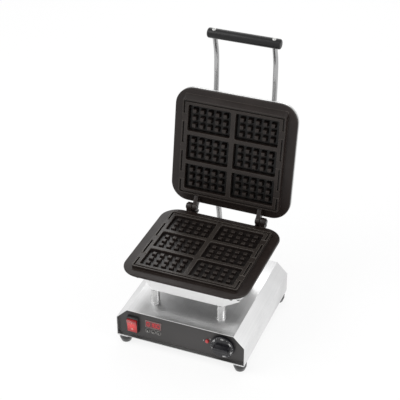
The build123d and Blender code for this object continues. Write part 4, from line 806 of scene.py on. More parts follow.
def grid_lines(axis):
    """Places of the mesh lines across the face, with close pairs at every edge."""
    half = BLOCK_HALF[axis]
    outer, inner = GROOVE_OUT[axis], GROOVE_OUT[axis] - GROOVE_W
    reaches = {0.0: [half, outer, outer - STEEP, inner, inner + STEEP]}
    for centre in ([-CAVITY_X, CAVITY_X], row_ys)[axis]:
        reaches.setdefault(centre, []).append(CAVITY_HALF[axis])
        reaches[centre].append(CAVITY_HALF[axis] - CAVITY_DRAFT)
        if axis == 1:
            reaches[centre] += [SEAT_HALF, SEAT_HALF - STEEP, BRIDGE_HALF, BRIDGE_HALF + STEEP]
    for centre in (stud_xs, stud_ys)[axis]:
        reaches.setdefault(centre, []).extend([STUD_TOP, STUD_FOOT])
    lines = set()
    for centre, distances in reaches.items():
        for distance in distances:
            for edge in (centre - distance, centre + distance):
                lines.update(round(edge + near, 6) for near in (-CAST_EDGE, 0.0, CAST_EDGE))
    kept = []
    for line in sorted(lines):
        if abs(line) <= half + HAIR and (not kept or line - kept[-1] > LEAST_LINE_GAP):
            kept.append(line)
    return kept


def rounded_corner(x, y, middle, half, radius, reach):
    """Moves a point near a rectangle's corner onto a round one, fading out beyond it."""
    dx = abs(x - middle[0]) - (half[0] - radius)
    dy = abs(y - middle[1]) - (half[1] - radius)
    if dx <= 0 or dy <= 0 or max(dx, dy) > radius + reach:
        return x, y
    far = max(dx, dy)
    pull = far / math.hypot(dx, dy)
    if far > radius:
        pull += (1 - pull) * (far - radius) / reach
    moved_x = math.copysign(half[0] - radius + dx * pull, x - middle[0])
    moved_y = math.copysign(half[1] - radius + dy * pull, y - middle[1])
    return middle[0] + moved_x, middle[1] + moved_y


def cooking_face(wall, slopes):
    """Face and outer wall of a plate, face up at z = 0, rounded by subdivision.

    The slopes are how far the wall leans out at its sides, its front and its back.
    """
    slope_side, slope_front, slope_back = slopes
    xs, ys = grid_lines(0), grid_lines(1)
    mesh = bmesh.new()
    table = []
    for y in ys:
        line = []
        for x in xs:
            px, py = rounded_corner(x, y, (0, 0), BLOCK_HALF, BLOCK_R, BLOCK_R)
            for cx in (-CAVITY_X, CAVITY_X):
                for row in row_ys:
                    near_x = abs(x - cx) < CAVITY_HALF[0] + CAVITY_R
                    if near_x and abs(y - row) < CAVITY_HALF[1] + CAVITY_R:
                        cavity = ((cx, row), CAVITY_HALF, CAVITY_R, CAVITY_CORNER_FADE)
                        px, py = rounded_corner(x, y, *cavity)
            line.append(mesh.verts.new((px, py, face_height(x, y))))
        table.append(line)
    for low_line, high_line in zip(table, table[1:]):
        for i in range(len(xs) - 1):
            mesh.faces.new((low_line[i], low_line[i + 1], high_line[i + 1], high_line[i]))
    rim = table[0] + [line[-1] for line in table[1:-1]] + list(reversed(table[-1]))
    rim += [line[0] for line in reversed(table[1:-1])]
    above = rim
    for depth in (CAST_EDGE, wall * 0.5, wall, wall + WALL_INTO_FLANGE):
        share = depth / wall
        below = []
        for x, y, z in [vert.co for vert in rim]:
            if abs(x) > BLOCK_HALF[0] - BLOCK_R:
                x += math.copysign(slope_side * share, x)
            if abs(y) > BLOCK_HALF[1] - BLOCK_R:
                y += slope_back * share if y > 0 else -slope_front * share
            below.append(mesh.verts.new((x, y, min(z, -depth))))
        for i in range(len(rim)):
            j = (i + 1) % len(rim)
            mesh.faces.new((above[j], above[i], below[i], below[j]))
        above = below
    return rounded_mesh(mesh)


def shaped_data(holder):
    """Mesh data of an object with its curve or its modifiers worked out; removes the object."""
    shaper = holder.evaluated_get(bpy.context.evaluated_depsgraph_get())
    shaped = bpy.data.meshes.new_from_object(shaper)
    bpy.data.objects.remove(holder)
    return shaped


def rounded_mesh(mesh):
    """Mesh rounded by one level of subdivision, as mesh data."""
    data = bpy.data.meshes.new("casting")
    mesh.to_mesh(data)
    mesh.free()
    holder = placed("casting", data)
    smoothing = holder.modifiers.new("round", "SUBSURF")
    smoothing.levels = smoothing.render_levels = 1
    shaped = shaped_data(holder)
    bpy.data.meshes.remove(data)
    return shaped


def box_plan(half_x, half_y):
    """Corners of a rectangle about the middle."""
    return [(half_x, -half_y), (half_x, half_y), (-half_x, half_y), (-half_x, -half_y)]


def flange_ring(inset, radius, z):
    """Level ring round a plate's flange, pulled in by inset."""
    return plan_ring(box_plan(*(half - inset for half in FLANGE_HALF)), radius, z, ROUND_STEPS)


def flange_slab(low_z, high_z):
    """Broad flange with round corners and rolled edges."""
    rim = [(FLANGE_RIM_W, low_z), (0.0, low_z), (0.0, high_z), (FLANGE_RIM_W, high_z)]
    profile = softened(rim, [0, FLANGE_EDGE_R, FLANGE_EDGE_R, 0], 6, closed=False)
    return skin([flange_ring(p.x, FLANGE_R - p.x, p.y) for p in profile])


# The non-stick coat: brown-black on the flange, darkened to near black by painted shade
# deep in the cavities, and worn to a dull grey where tongs and plates touch the ribs and
# stud tops, a grey that is also a painted highlight there. A pale line along its edges is
# partly worn bare metal and partly a painted highlight.
COAT_DARK = (0.0120, 0.0080, 0.0068)
COAT_LIGHT = (0.0200, 0.0140, 0.0120)
# Dull grey of the rubbed ribs and stud tops: wear, lightened as a painted highlight too.
COAT_RUBBED_LIT = (0.033, 0.0280, 0.0245)
# Painted shade: the near black that the cavities darken to with depth.
COAT_CAVITY_SHADE = (0.0065, 0.0052, 0.0048)
# Pale edge line: partly worn bare metal, partly a painted highlight.
BARE_EDGE_HIGHLIGHT = (0.150, 0.132, 0.116)
EDGE_HIGHLIGHT_R = 0.0011
EDGE_TURNS = (0.995, 0.90)
OUTSIDE_EDGE_HIGHLIGHT = 0.6
RUBBED_SHINE = -0.04
# Depths below the rim over which the wear and its painted highlight fade out.
WORN_LIT_FROM, WORN_LIT_RUN = 0.0004, 0.0014
# Depths below the rim over which the painted shade in the cavities grows.
CAVITY_SHADE_FROM, CAVITY_SHADE_RUN = 0.0025, 0.006
# How much wear and painted highlight each plate's raised parts get.
LOWER_WEAR_LIGHT, UPPER_WEAR_LIGHT = 1.0, 0.45
cast_coat, coat_tree, coat_shader, coat_grain, coat_cloud = grained(
    "baked_non_stick", 420.0, 18.0
)
# Mesh marks read here: the first is wear with a painted highlight on raised parts, the second is
# painted shade that grows with a cavity's depth, -1 outside the block.
wear_and_highlight, deep = [
    add(coat_tree, "ShaderNodeAttribute", {}, attribute_name=label).outputs["Fac"]
    for label in ("wear_and_highlight", "deep")
]
# The pale edge line of wear and painted highlight, where the rounded normal turns away from the
# plain one.
edge_round = add(coat_tree, "ShaderNodeBevel", {"Radius": EDGE_HIGHLIGHT_R}, samples=BEVEL_SAMPLES)
edge_plain = add(coat_tree, "ShaderNodeNewGeometry", {})
edge_normals = {0: edge_round.outputs["Normal"], 1: edge_plain.outputs["Normal"]}
edge_dot = add(coat_tree, "ShaderNodeVectorMath", edge_normals, operation="DOT_PRODUCT")
edge_turn = span(coat_tree, edge_dot.outputs["Value"], EDGE_TURNS)
outside = maths(coat_tree, "LESS_THAN", deep, -0.5)
outside_edge_highlight = maths(coat_tree, "MULTIPLY", outside, OUTSIDE_EDGE_HIGHLIGHT)
exposed_and_lit = maths(coat_tree, "MAXIMUM", wear_and_highlight, outside_edge_highlight)
edge_wear_highlight = maths(coat_tree, "MULTIPLY", edge_turn, exposed_and_lit)
patches = span(coat_tree, coat_cloud, (0.30, 0.62), (0.45, 1.0))
# Raised parts in patches: wear with a painted highlight.
rubbed_and_lit = maths(coat_tree, "MULTIPLY", wear_and_highlight, patches, clamp=True)
coat_colour = blended(coat_tree, span(coat_tree, coat_cloud), COAT_DARK, COAT_LIGHT)
# Laid over the coat: rubbed tops with a painted highlight, painted shade in deep cavities, and the
# edge line of wear and painted highlight.
for share, colour in ((rubbed_and_lit, COAT_RUBBED_LIT), (deep, COAT_CAVITY_SHADE), (edge_wear_highlight, BARE_EDGE_HIGHLIGHT)):
    coat_colour = blended(coat_tree, share, coat_colour, colour)
coat_sheen = span(coat_tree, coat_cloud, NOISE, (0.36, 0.28))
rubbed_sheen = maths(coat_tree, "MULTIPLY", rubbed_and_lit, RUBBED_SHINE)
coat_rough = maths(coat_tree, "ADD", coat_sheen, rubbed_sheen)
feed(
    coat_tree,
    coat_shader,
    {"Base Color": coat_colour, "Roughness": coat_rough, "Specular IOR Level": 0.28},
)
bumped(coat_tree, coat_shader, coat_grain, 0.00006, 0.7)


def mark_wear_light_and_shade(plate, rim_z, direction, turn, wear_light):
    """Writes the wear with its painted highlight on raised parts and the painted shade by a
    cavity's depth, or -1 outside the block.
    """
    back = turn.inverted()
    wear_and_highlight_marks = plate.data.attributes.new("wear_and_highlight", "FLOAT", "POINT").data
    cavity_shade_marks = plate.data.attributes.new("deep", "FLOAT", "POINT").data
    for index, vert in enumerate(plate.data.vertices):
        here = back @ vert.co
        depth = (rim_z - here.z) * direction
        if abs(here.x) < BLOCK_HALF[0] and abs(here.y - plate_y) < BLOCK_HALF[1]:
            # Wear and painted highlight near the rim's level, painted shade deeper in a cavity.
            wear_and_highlight_marks[index].value = wear_light * held(1.0 - (depth - WORN_LIT_FROM) / WORN_LIT_RUN)
            cavity_shade_marks[index].value = held((depth - CAVITY_SHADE_FROM) / CAVITY_SHADE_RUN)
        else:
            cavity_shade_marks[index].value = -1.0


lower_face = cooking_face(LOWER_WALL, LOWER_SLOPES)
lower_face.transform(Matrix.Translation((0, plate_y, face_z)))
web_rings = []
for z in (pan_top_z, flange_z + WEB_INTO_FLANGE):
    web_rings.append(plan_ring(box_plan(*WEB_HALF), WEB_R, z, 10))
lower_parts = [lower_face, flange_slab(flange_z, flange_z + LOWER_FLANGE_T)]
lower_parts.append(eased(skin(web_rings), WEB_EASE, 3))
boss = oblong(STUD_R, BOSS_R, pan_top_z, flange_z + BOSS_INTO_FLANGE)
boss = softened(boss, [0, BOSS_EASE, 0, 0], 3)
for side, end in CORNERS:
    for x, y in STUD_SPOTS:
        boss_place = Matrix.Translation((side * x, plate_y + end * y, 0))
        lower_parts.append(turned(boss, boss_place, 40))

# The hinge: an ear on a pad at each side of the lower casting, and an arm with a round
# barrel at each side of the upper one, cast in one with the plates.
EAR_X = (0.08595, 0.09845)
EAR_R = 0.00975
EAR_CROWN_R = EAR_R - 0.00005
ARM_X = (0.07475, 0.08425)
ARM_R = 0.010
ARM_CHIN = 0.007
ARM_BROW = (0.006, 0.008)
ARM_ROOT_L = 0.0255
ARM_ROOT_Z = (0.0066, 0.004)
ARM_HEEL = 0.0005
PAD_X = (0.073, 0.099)
PAD_FRONT = 0.0165
PAD_REAR = 0.0095
PAD_GAP = 0.0005
PAD_ROUNDS = [0.001, 0.003, 0.001, 0.002]
EAR_ROUNDS = [0.001, 0.003, EAR_CROWN_R, EAR_CROWN_R]
ARM_ROUNDS = [0.0, 0.004, 0.001, 0.003, 0.0]
PAD_EASE, EAR_EASE, ARM_EASE, BARREL_EASE = 0.0008, 0.0010, 0.0009, 0.0010
ROOT_INTO_FLANGE = 0.001
flange_rear = plate_y + FLANGE_HALF[1]
root_z = flange_z - ROOT_INTO_FLANGE
hinge_axis = (hinge.y, hinge.z)


def slice_of(side, near_and_far):
    """Low and high x of a slice that lies right or left of the middle."""
    return sorted(side * reach for reach in near_and_far)


def side_prism(outline, ends, ease):
    """Prism between two places in x, from an outline of (y, z) points."""
    return eased(skin([[(x, y, z) for y, z in outline] for x in ends]), ease, 3, 40.0)


def barrel(radius, ends, axis, ease, steps=4, sides=48):
    """Round bar between two places in x about an axis at (y, z), with eased ends."""
    section = oblong(AXIS, radius, 0.0, ends[1] - ends[0])
    place = Matrix.Translation((ends[0], *axis)) @ Matrix.Rotation(math.pi / 2, 4, "Y")
    return turned(softened(section, [0, ease, ease, 0], steps, False), place, sides, hollow=False)


pad_front_y, pad_rear_y = hinge.y - ARM_R - PAD_FRONT, hinge.y + PAD_REAR
pad_plan = oblong(pad_front_y, pad_rear_y, root_z, hinge.z - ARM_R - PAD_GAP)
pad_plan = softened(pad_plan, PAD_ROUNDS)
ear_plan = oblong(hinge.y - EAR_R, hinge.y + EAR_R, root_z, hinge.z + EAR_R)
ear_plan = softened(ear_plan, EAR_ROUNDS, 10)
arm_plan = [
    (hinge.y - ARM_CHIN, hinge.z - ARM_CHIN),
    (flange_rear - ARM_ROOT_L, upper_face_z + ARM_ROOT_Z[0]),
    (flange_rear - ARM_ROOT_L, upper_flange_z + ARM_ROOT_Z[1]),
    (flange_rear - ARM_HEEL, hood_z - FLANGE_EDGE_R),
    (hinge.y + ARM_BROW[0], hinge.z + ARM_BROW[1]),
]
arm_plan = softened(arm_plan, ARM_ROUNDS)
upper_parts = []
for side in (-1, 1):
    lower_parts.append(side_prism(pad_plan, slice_of(side, PAD_X), PAD_EASE))
    lower_parts.append(side_prism(ear_plan, slice_of(side, EAR_X), EAR_EASE))
    upper_parts.append(side_prism(arm_plan, slice_of(side, ARM_X), ARM_EASE))
    upper_parts.append(barrel(ARM_R, slice_of(side, ARM_X), hinge_axis, BARREL_EASE))
lower_plate = fitted(
    "lower_waffle_plate", lower_parts, cast_coat, "base", ["lower_plate"]
)
mark_wear_light_and_shade(lower_plate, face_z, 1.0, still, LOWER_WEAR_LIGHT)

upper_face = cooking_face(UPPER_WALL, UPPER_SLOPES)
face_down = Matrix.Diagonal((1, 1, -1, 1))
upper_face.transform(Matrix.Translation((0, plate_y, upper_face_z)) @ face_down)
upper_face.flip_normals()
upper_parts += [upper_face, flange_slab(upper_flange_z, hood_z)]
upper_plate = on_lid("upper_waffle_plate", upper_parts, cast_coat, ["upper_plate"])
mark_wear_light_and_shade(upper_plate, upper_face_z, -1.0, lid_opened, UPPER_WEAR_LIGHT)

# Heating elements and clamps
# A tubular element in a nickel sheath is pressed to the back of each casting by two
# steel clamp bars, with ceramic ends where the leads are crimped on.
sheath = pebbled(
    "element_sheath", (0.16, 0.14, 0.12), (0.25, 0.22, 0.19), 0.45, 600.0, 0.00003, 30.0, 1.0
)
ceramic = pebbled(
    "fired_ceramic", (0.72, 0.70, 0.64), (0.80, 0.78, 0.73), 0.5, 800.0, 0.00003, 40.0
)
dressed(["lower_heating_element", "upper_heating_element"], sheath)
dressed(["lower_element_terminals", "upper_element_terminals"], ceramic)
dressed(["lower_clamp_bars", "upper_clamp_bars", "lower_clamp_screws", "upper_clamp_screws"], zinc)

# Hinge pins
# A ground steel pin with a flat head goes through each pair of knuckles and is kept
# in by a spring clip on its inner end.
PIN_R = 0.005
PIN_PAST_ARM = 0.0023
PIN_HEAD_R = 0.007
PIN_HEAD_T = 0.0025
PIN_HEAD_EASE, PIN_EASE = 0.0007, 0.0004
pin_steel = pebbled(
    "blackened_pin_steel", (0.045, 0.043, 0.042), (0.085, 0.083, 0.08), 0.34, 500.0, 0.00001,
    80.0, 1.0,
)
pins = []
for side in (-1, 1):
    head = slice_of(side, (EAR_X[1], EAR_X[1] + PIN_HEAD_T))
    shank = slice_of(side, (ARM_X[0] - PIN_PAST_ARM, EAR_X[1]))
    pins.append(barrel(PIN_HEAD_R, head, hinge_axis, PIN_HEAD_EASE))
    pins.append(barrel(PIN_R, shank, hinge_axis, PIN_EASE))
fitted("headed_hinge_pins", pins, pin_steel, "base", ["hinge_pins"])
dressed(["hinge_clips"], dark_steel)

# Hood over the upper casting
# A pressed stainless hood with a bevelled rim covers the upper element. Four screws
# hold it to pillars on the casting.
HOOD_RIM = 0.007
HOOD_BEVEL = 0.022
HOOD_TOP_W = 0.040
HOOD_FOLD_R = 0.004
PILLAR = (0.110, 0.072)
HOOD_SCREW = (0.0048, 0.0026)
HOOD_EDGE_EASE = 0.0002
HEAD_STEPS = 8
HEAD_RIM = 0.35
HEAD_CROWN = 0.55
hood_top_z = hood_z + HOOD_RIM + HOOD_BEVEL
hood_steel = brushed_steel(
    "hood_stainless", (0.48, 0.48, 0.48), (0.64, 0.64, 0.635), (7.0, 900.0, 900.0), 0.28, cloud=6.0
)


def hood_profile(inset):
    """Half section of the hood: distance in from its outer edge, and level."""
    lean = inset * math.tan(math.pi / 8)
    section = [
        (inset, hood_z),
        (inset, hood_z + HOOD_RIM - lean),
        (HOOD_BEVEL + lean, hood_top_z - inset),
        (HOOD_BEVEL + HOOD_TOP_W, hood_top_z - inset),
    ]
    fold_r = HOOD_FOLD_R - inset
    return softened(section, [0, fold_r, fold_r, 0], 6, closed=False)


def domed_head(radius, height, place):
    """Domed screw head with a low upright rim."""
    profile = [(AXIS, 0.0), (radius, 0.0)]
    for step in range(HEAD_STEPS + 1):
        angle = math.pi / 2 * step / HEAD_STEPS
        rise = height * (HEAD_RIM + (1 - HEAD_RIM) * math.sin(angle))
        profile.append((radius * math.cos(angle) ** HEAD_CROWN + AXIS, rise))
    return turned(profile, place, 40, hollow=False)


hood_rings = []
for p in list(reversed(hood_profile(0.0))) + hood_profile(SHEET):
    hood_rings.append(flange_ring(p.x, max(FLANGE_R - p.x, HOOD_FOLD_R), p.y))
hood = eased(skin(hood_rings), HOOD_EDGE_EASE, 2, 70.0)
on_lid("pressed_hood", [hood], hood_steel, ["upper_hood"])
hood_screws = []
for spot in front_and_back(*PILLAR, plate_y):
    head_place = Matrix.Translation(spot + Vector((0, 0, hood_top_z)))
    hood_screws.append(domed_head(*HOOD_SCREW, head_place))
on_lid("hood_screw_heads", hood_screws, zinc, ["hood_screws"])

# Lift handle
# Two bent stainless rods are screwed into bosses on the upper casting and locked by
# nuts on the hood. A black phenolic grip is screwed across their ends.
ROD_X = 0.0715
ROD_R = 0.0059
ROD_ROOT = 0.003
# The rods' middle line from its first bend on: y about the base's middle, and z.
ROD_ROOT_Y = -0.050
ROD_RISE = 0.0562
ROD_ROUTE = ((-0.150, 0.2815), (-0.228, 0.2695), (-0.2784, 0.246))
ROD_BENDS = (0.018, 0.400, 0.150)
ROD_NUT_AF = 0.019
ROD_NUT_H = 0.007
GRIP_L = 0.175
GRIP_R = 0.01175
GRIP_END_R = 0.0045
GRIP_SCREW = (0.0046, 0.0030)
GRIP_SCREW_SINK = 0.0008
rod_root_y = base_y + ROD_ROOT_Y
rod_points = [(rod_root_y, hood_z + ROD_ROOT), (rod_root_y, hood_z + ROD_RISE)]
rod_points += [(base_y + y, z) for y, z in ROD_ROUTE]
rod_steel = brushed_steel(
    "drawn_stainless", (0.34, 0.34, 0.345), (0.44, 0.44, 0.44), (900.0, 30.0, 30.0), 0.20,
    cloud=8.0, groove_depth=0.000003,
)


def swept(points, radii, sides=32):
    """Round bar along a path, with a radius for each of its points and flat ends."""
    rings = []
    across = (points[1] - points[0]).normalized().orthogonal().normalized()
    for i, (point, radius) in enumerate(zip(points, radii)):
        ahead = (points[min(i + 1, len(points) - 1)] - points[max(i - 1, 0)]).normalized()
        across = (across - ahead * across.dot(ahead)).normalized()
        upward = ahead.cross(across)
        ring = []
        for step in range(sides):
            angle = 2 * math.pi * step / sides
            sideways = across * radius * math.cos(angle)
            ring.append(point + sideways + upward * radius * math.sin(angle))
        rings.append(ring)
    return skin(rings)


rod_line = softened(rod_points, [0, *ROD_BENDS, 0], ROUND_STEPS, closed=False)
for name, side in (("left_handle_rod", -1), ("right_handle_rod", 1)):
    rod = swept([Vector((side * ROD_X, *p)) for p in rod_line], [ROD_R] * len(rod_line))
    on_lid(f"{name}_drawn", [rod], rod_steel, [name])
lock_nuts = []
for side in (-1, 1):
    nut_place = Matrix.Translation((side * ROD_X, rod_root_y, hood_top_z))
    lock_nuts.append(hex_nut(ROD_NUT_AF, ROD_NUT_H, nut_place, ROD_R))
on_lid("rod_lock_nuts", lock_nuts, zinc, ["rod_nuts"])

grip_black = pebbled(
    "black_phenolic", (0.006, 0.006, 0.0063), (0.010, 0.010, 0.0105), 0.34, 1300.0, 0.00002,
    25.0, gloss=0.3,
)
grip = barrel(GRIP_R, (-GRIP_L / 2, GRIP_L / 2), rod_points[-1], GRIP_END_R, 8, 64)
on_lid("phenolic_grip", [grip], grip_black, ["handle_grip"])
knee, grip_middle = [Vector((0, *point)) for point in rod_points[-2:]]
grip_out = (grip_middle - knee).normalized()
head_turn = grip_out.to_track_quat("Z", "X").to_matrix().to_4x4()
grip_heads = []
for side in (-1, 1):
    seat = Vector((side * ROD_X, *rod_points[-1])) + grip_out * (GRIP_R - GRIP_SCREW_SINK)
    grip_heads.append(domed_head(*GRIP_SCREW, Matrix.Translation(seat) @ head_turn))
on_lid("grip_screw_heads", grip_heads, zinc, ["grip_screws"])

# Glands and flexible conduit
# The upper element's leads run in a corrugated metal conduit from the back of the base
# to the hood. A plated brass gland with a locknut holds each end, and a nylon mains gland
# waits beside them.
CONDUIT_X = -0.041
CONDUIT_R = 0.0065
CONDUIT_RIB = 0.0005
CONDUIT_PITCH = 0.0024
RIB_STEPS = 6
# From the hood's gland to the base's: y about the base's middle, and z.
CONDUIT_ROUTE = (
    (0.1858, 0.2124),
    (0.1958, 0.1986),
    (0.2050, 0.1640),
    (0.2095, 0.1260),
    (0.2085, 0.0900),
    (0.1970, 0.0640),
    (0.1760, 0.0480),
    (0.1530, 0.0480),
)
GLAND_AF = 0.017
GLAND_HEX_H = 0.006
GLAND_BORE_R = CONDUIT_R - CONDUIT_RIB
GLAND_Z = 0.048
COLLAR_R = 0.008
COLLAR_H = 0.005
REAR_INSET = 0.008
HOOD_GLAND_UP = 0.0085
COLLAR_FOOT_R, COLLAR_CROWN_R, COLLAR_MOUTH_R = 0.0003, 0.0016, 0.0004
MAINS_X = 0.095
MAINS_R = 0.0095
MAINS_H = 0.010
MAINS_BORE_R = 0.004


def gland(collar_r, collar_h, bore_r, place):
    """Hexagon, rounded collar and bore of a gland, outside its wall."""
    hexagon = hex_nut(GLAND_AF, GLAND_HEX_H, place, bore_r)
    collar = oblong(bore_r, collar_r, GLAND_HEX_H, GLAND_HEX_H + collar_h)
    crown_r = min(COLLAR_CROWN_R, collar_h / 3)
    collar = softened(collar, [0, COLLAR_FOOT_R, crown_r, COLLAR_MOUTH_R], 4)
    return [hexagon, turned(collar, place, 48)]


def gland_place(x, y, z, degrees):
    """Place of a gland whose axis leans back by degrees from upright."""
    return Matrix.Translation((x, y, z)) @ Matrix.Rotation(-math.radians(degrees), 4, "X")


rear_y = base_high.y - REAR_INSET
gland_plate = pebbled(
    "plated_brass", (0.50, 0.49, 0.46), (0.66, 0.65, 0.61), 0.28, 500.0, 0.00001, 60.0, 1.0
)
black_plastic = pebbled(
    "black_nylon", (0.012, 0.012, 0.0125), (0.020, 0.020, 0.021), 0.38, 1000.0, 0.00002, 30.0,
    round_r=EDGE_ROUND_R,
)
base_gland = gland(
    COLLAR_R, COLLAR_H, GLAND_BORE_R, gland_place(CONDUIT_X, rear_y, GLAND_Z, 90)
)
hood_gland_y, hood_gland_z = flange_rear - HOOD_GLAND_UP, hood_z + HOOD_RIM + HOOD_GLAND_UP
hood_gland = gland(
    COLLAR_R, COLLAR_H, GLAND_BORE_R, gland_place(CONDUIT_X, hood_gland_y, hood_gland_z, 45)
)
mains_gland = gland(MAINS_R, MAINS_H, MAINS_BORE_R, gland_place(MAINS_X, rear_y, GLAND_Z, 90))
fitted(
    "base_conduit_gland", base_gland, gland_plate, "base", ["conduit_base_gland"]
)
on_lid("hood_conduit_gland", hood_gland, gland_plate, ["conduit_hood_gland"])
fitted("mains_cord_gland", mains_gland, black_plastic, "base", ["mains_gland"])
dressed(["gland_locknuts"], zinc)

conduit_curve = bpy.data.curves.new("conduit_line", "CURVE")
conduit_curve.dimensions = "3D"
conduit_curve.resolution_u = 24
spline = conduit_curve.splines.new("NURBS")
spline.points.add(len(CONDUIT_ROUTE) - 1)
for point, (y, z) in zip(spline.points, CONDUIT_ROUTE):
    point.co = (CONDUIT_X, base_y + y, z, 1.0)
spline.order_u = 3
spline.use_endpoint_u = True
line_data = shaped_data(placed("conduit_line", conduit_curve))
coarse = [vert.co.copy() for vert in line_data.vertices]
bpy.data.meshes.remove(line_data)
conduit_line, conduit_radii = [], []
rib_step = CONDUIT_PITCH / RIB_STEPS
walked = 0.0
for here, there in zip(coarse, coarse[1:]):
    run = (there - here).length
    while walked < run:
        conduit_line.append(here.lerp(there, walked / run))
        walked += rib_step
    walked -= run
conduit_line.append(coarse[-1])
for index in range(len(conduit_line)):
    wave = math.cos(2 * math.pi * index / RIB_STEPS)
    conduit_radii.append(CONDUIT_R - CONDUIT_RIB * (1 - wave) / 2)
conduit_metal = pebbled(
    "galvanised_hose", (0.36, 0.36, 0.36), (0.48, 0.48, 0.475), 0.36, 500.0, 0.00001, 40.0, 0.9
)
conduit = fitted(
    "corrugated_conduit", [swept(conduit_line, conduit_radii, 28)], conduit_metal, None,
    ["flexible_conduit"], smooth=80.0,
)
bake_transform(conduit)

# Power switch
# A lit rocker switch snaps into the left of the panel: a black nylon housing that
# stands proud, and a clear red rocker with ON and OFF marks.
SWITCH_X = -0.1157
SWITCH_Z = 0.059
SWITCH_BASE = (0.0285, 0.043)
SWITCH_BASE_T = 0.0012
SWITCH_BODY_R, SWITCH_BASE_R, SWITCH_RIM_R, SWITCH_FRONT_R = 0.001, 0.003, 0.0028, 0.0024
SWITCH_RIM = 0.0006
SWITCH_SHOULDER = (0.0272, 0.0396)
SWITCH_FRONT = (0.0266, 0.0386)
SWITCH_PROUD = 0.009
SWITCH_BODY = (0.0254, 0.0374)
SWITCH_BODY_L = 0.025
ROCKER_W = 0.024
ROCKER_R = 0.0174
PIVOT_PROUD = 0.0065
ROCKER_FRONT = 0.006
ROCKER_BACK = 0.005
ROCKER_DISH = 0.0018
ROCKER_EASE = 0.0005
ROCKER_FRONT_EASE = 0.4
WELL = (ROCKER_W + 0.0004, 2 * ROCKER_R + 0.001, 0.001)
WELL_MOUTH = (ROCKER_W + 0.0008, 2 * ROCKER_R + 0.0014, 0.0012)
WELL_LIP = 0.0004
WELL_BEHIND_ROCKER = 0.004
LENS_LIGHT_PROUD = 0.010
LENS_LIGHT_REACH = (0.003, 0.017)
ROCKER_TILT = 8.0
ROCKER_ARC_STEPS = 8
DISH_STEPS = 16
# Places across the rocker as shares of its half width, and how far it is eased in there.
ROCKER_SLICES = {-1: 0.0007, -0.975: 0.0002, -0.94: 0.0, 0.94: 0.0, 0.975: 0.0002, 1: 0.0007}
MARK_R = 0.0022
MARK_LINE = 0.0008
MARK_UP = 0.0085
MARK_SIDES = 40
MARK_SINK = -0.0003
MARK_PROUD = 0.0001
panel_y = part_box("front_panel")[0].y
facing = Matrix.Rotation(math.pi / 2, 4, "X")


def on_panel(x, z, proud=0.0):
    """Place on the front panel: local X to the right, Y up and Z out of it."""
    return Matrix.Translation((x, panel_y - proud, z)) @ facing


def framed_rings(levels, place):
    """Rings of rounded rectangles given as width, height, corner and level."""
    rings = []
    for width, height, corner, level in levels:
        plan = softened(box_plan(width / 2, height / 2), corner)
        rings.append([place @ Vector((*p, level)) for p in plan])
    return rings


switch_levels = [
    (*SWITCH_BODY, SWITCH_BODY_R, -SWITCH_BODY_L),
    (*SWITCH_BODY, SWITCH_BODY_R, 0.0),
    (*SWITCH_BASE, SWITCH_BASE_R, 0.0),
    (*SWITCH_BASE, SWITCH_BASE_R, SWITCH_BASE_T),
    (*SWITCH_SHOULDER, SWITCH_RIM_R, SWITCH_PROUD - SWITCH_RIM),
    (*SWITCH_FRONT, SWITCH_FRONT_R, SWITCH_PROUD),
    (*WELL_MOUTH, SWITCH_PROUD),
    (*WELL, SWITCH_PROUD - WELL_LIP),
    (*WELL, PIVOT_PROUD - ROCKER_BACK - WELL_BEHIND_ROCKER),
]
surround = skin(framed_rings(switch_levels, on_panel(SWITCH_X, SWITCH_Z)))
fitted("switch_surround", [surround], black_plastic, "base", ["switch_housing"])

lens_red, lens_tree, lens_shader, lens_grain, lens_cloud = grained("lit_red_lens", 260.0, 90.0)
lens_place = add(lens_tree, "ShaderNodeTexCoord", {}).outputs["Object"]
lens_spots = {0: lens_place, 1: (SWITCH_X, panel_y - LENS_LIGHT_PROUD, SWITCH_Z)}
lens_off = add(lens_tree, "ShaderNodeVectorMath", lens_spots, operation="DISTANCE")
lens_glow = span(lens_tree, lens_off.outputs["Value"], LENS_LIGHT_REACH, (1.0, 0.0))
lens_sockets = {
    "Base Color": blended(lens_tree, lens_glow, (0.30, 0.006, 0.008), (0.62, 0.014, 0.014)),
    "Emission Color": blended(lens_tree, lens_glow, (0.05, 0.001, 0.001), (0.36, 0.008, 0.010)),
    "Emission Strength": 0.5,
    "Roughness": span(lens_tree, lens_cloud, NOISE, (0.20, 0.32)),
    "Coat Weight": 0.6,
    "Coat Roughness": 0.08,
}
feed(lens_tree, lens_shader, lens_sockets)
bumped(lens_tree, lens_shader, lens_grain, 0.00004, 0.5)

rocker_edge = math.sqrt(ROCKER_R**2 - ROCKER_FRONT**2)
rocker_pivot = on_panel(SWITCH_X, SWITCH_Z, PIVOT_PROUD)
rocker_pivot = rocker_pivot @ Matrix.Rotation(math.radians(ROCKER_TILT), 4, "X")


def rocker_front(height):
    """How far the dished front of the rocker stands out at a height about its pivot."""
    return ROCKER_FRONT - ROCKER_DISH * (1 - (height / rocker_edge) ** 2)


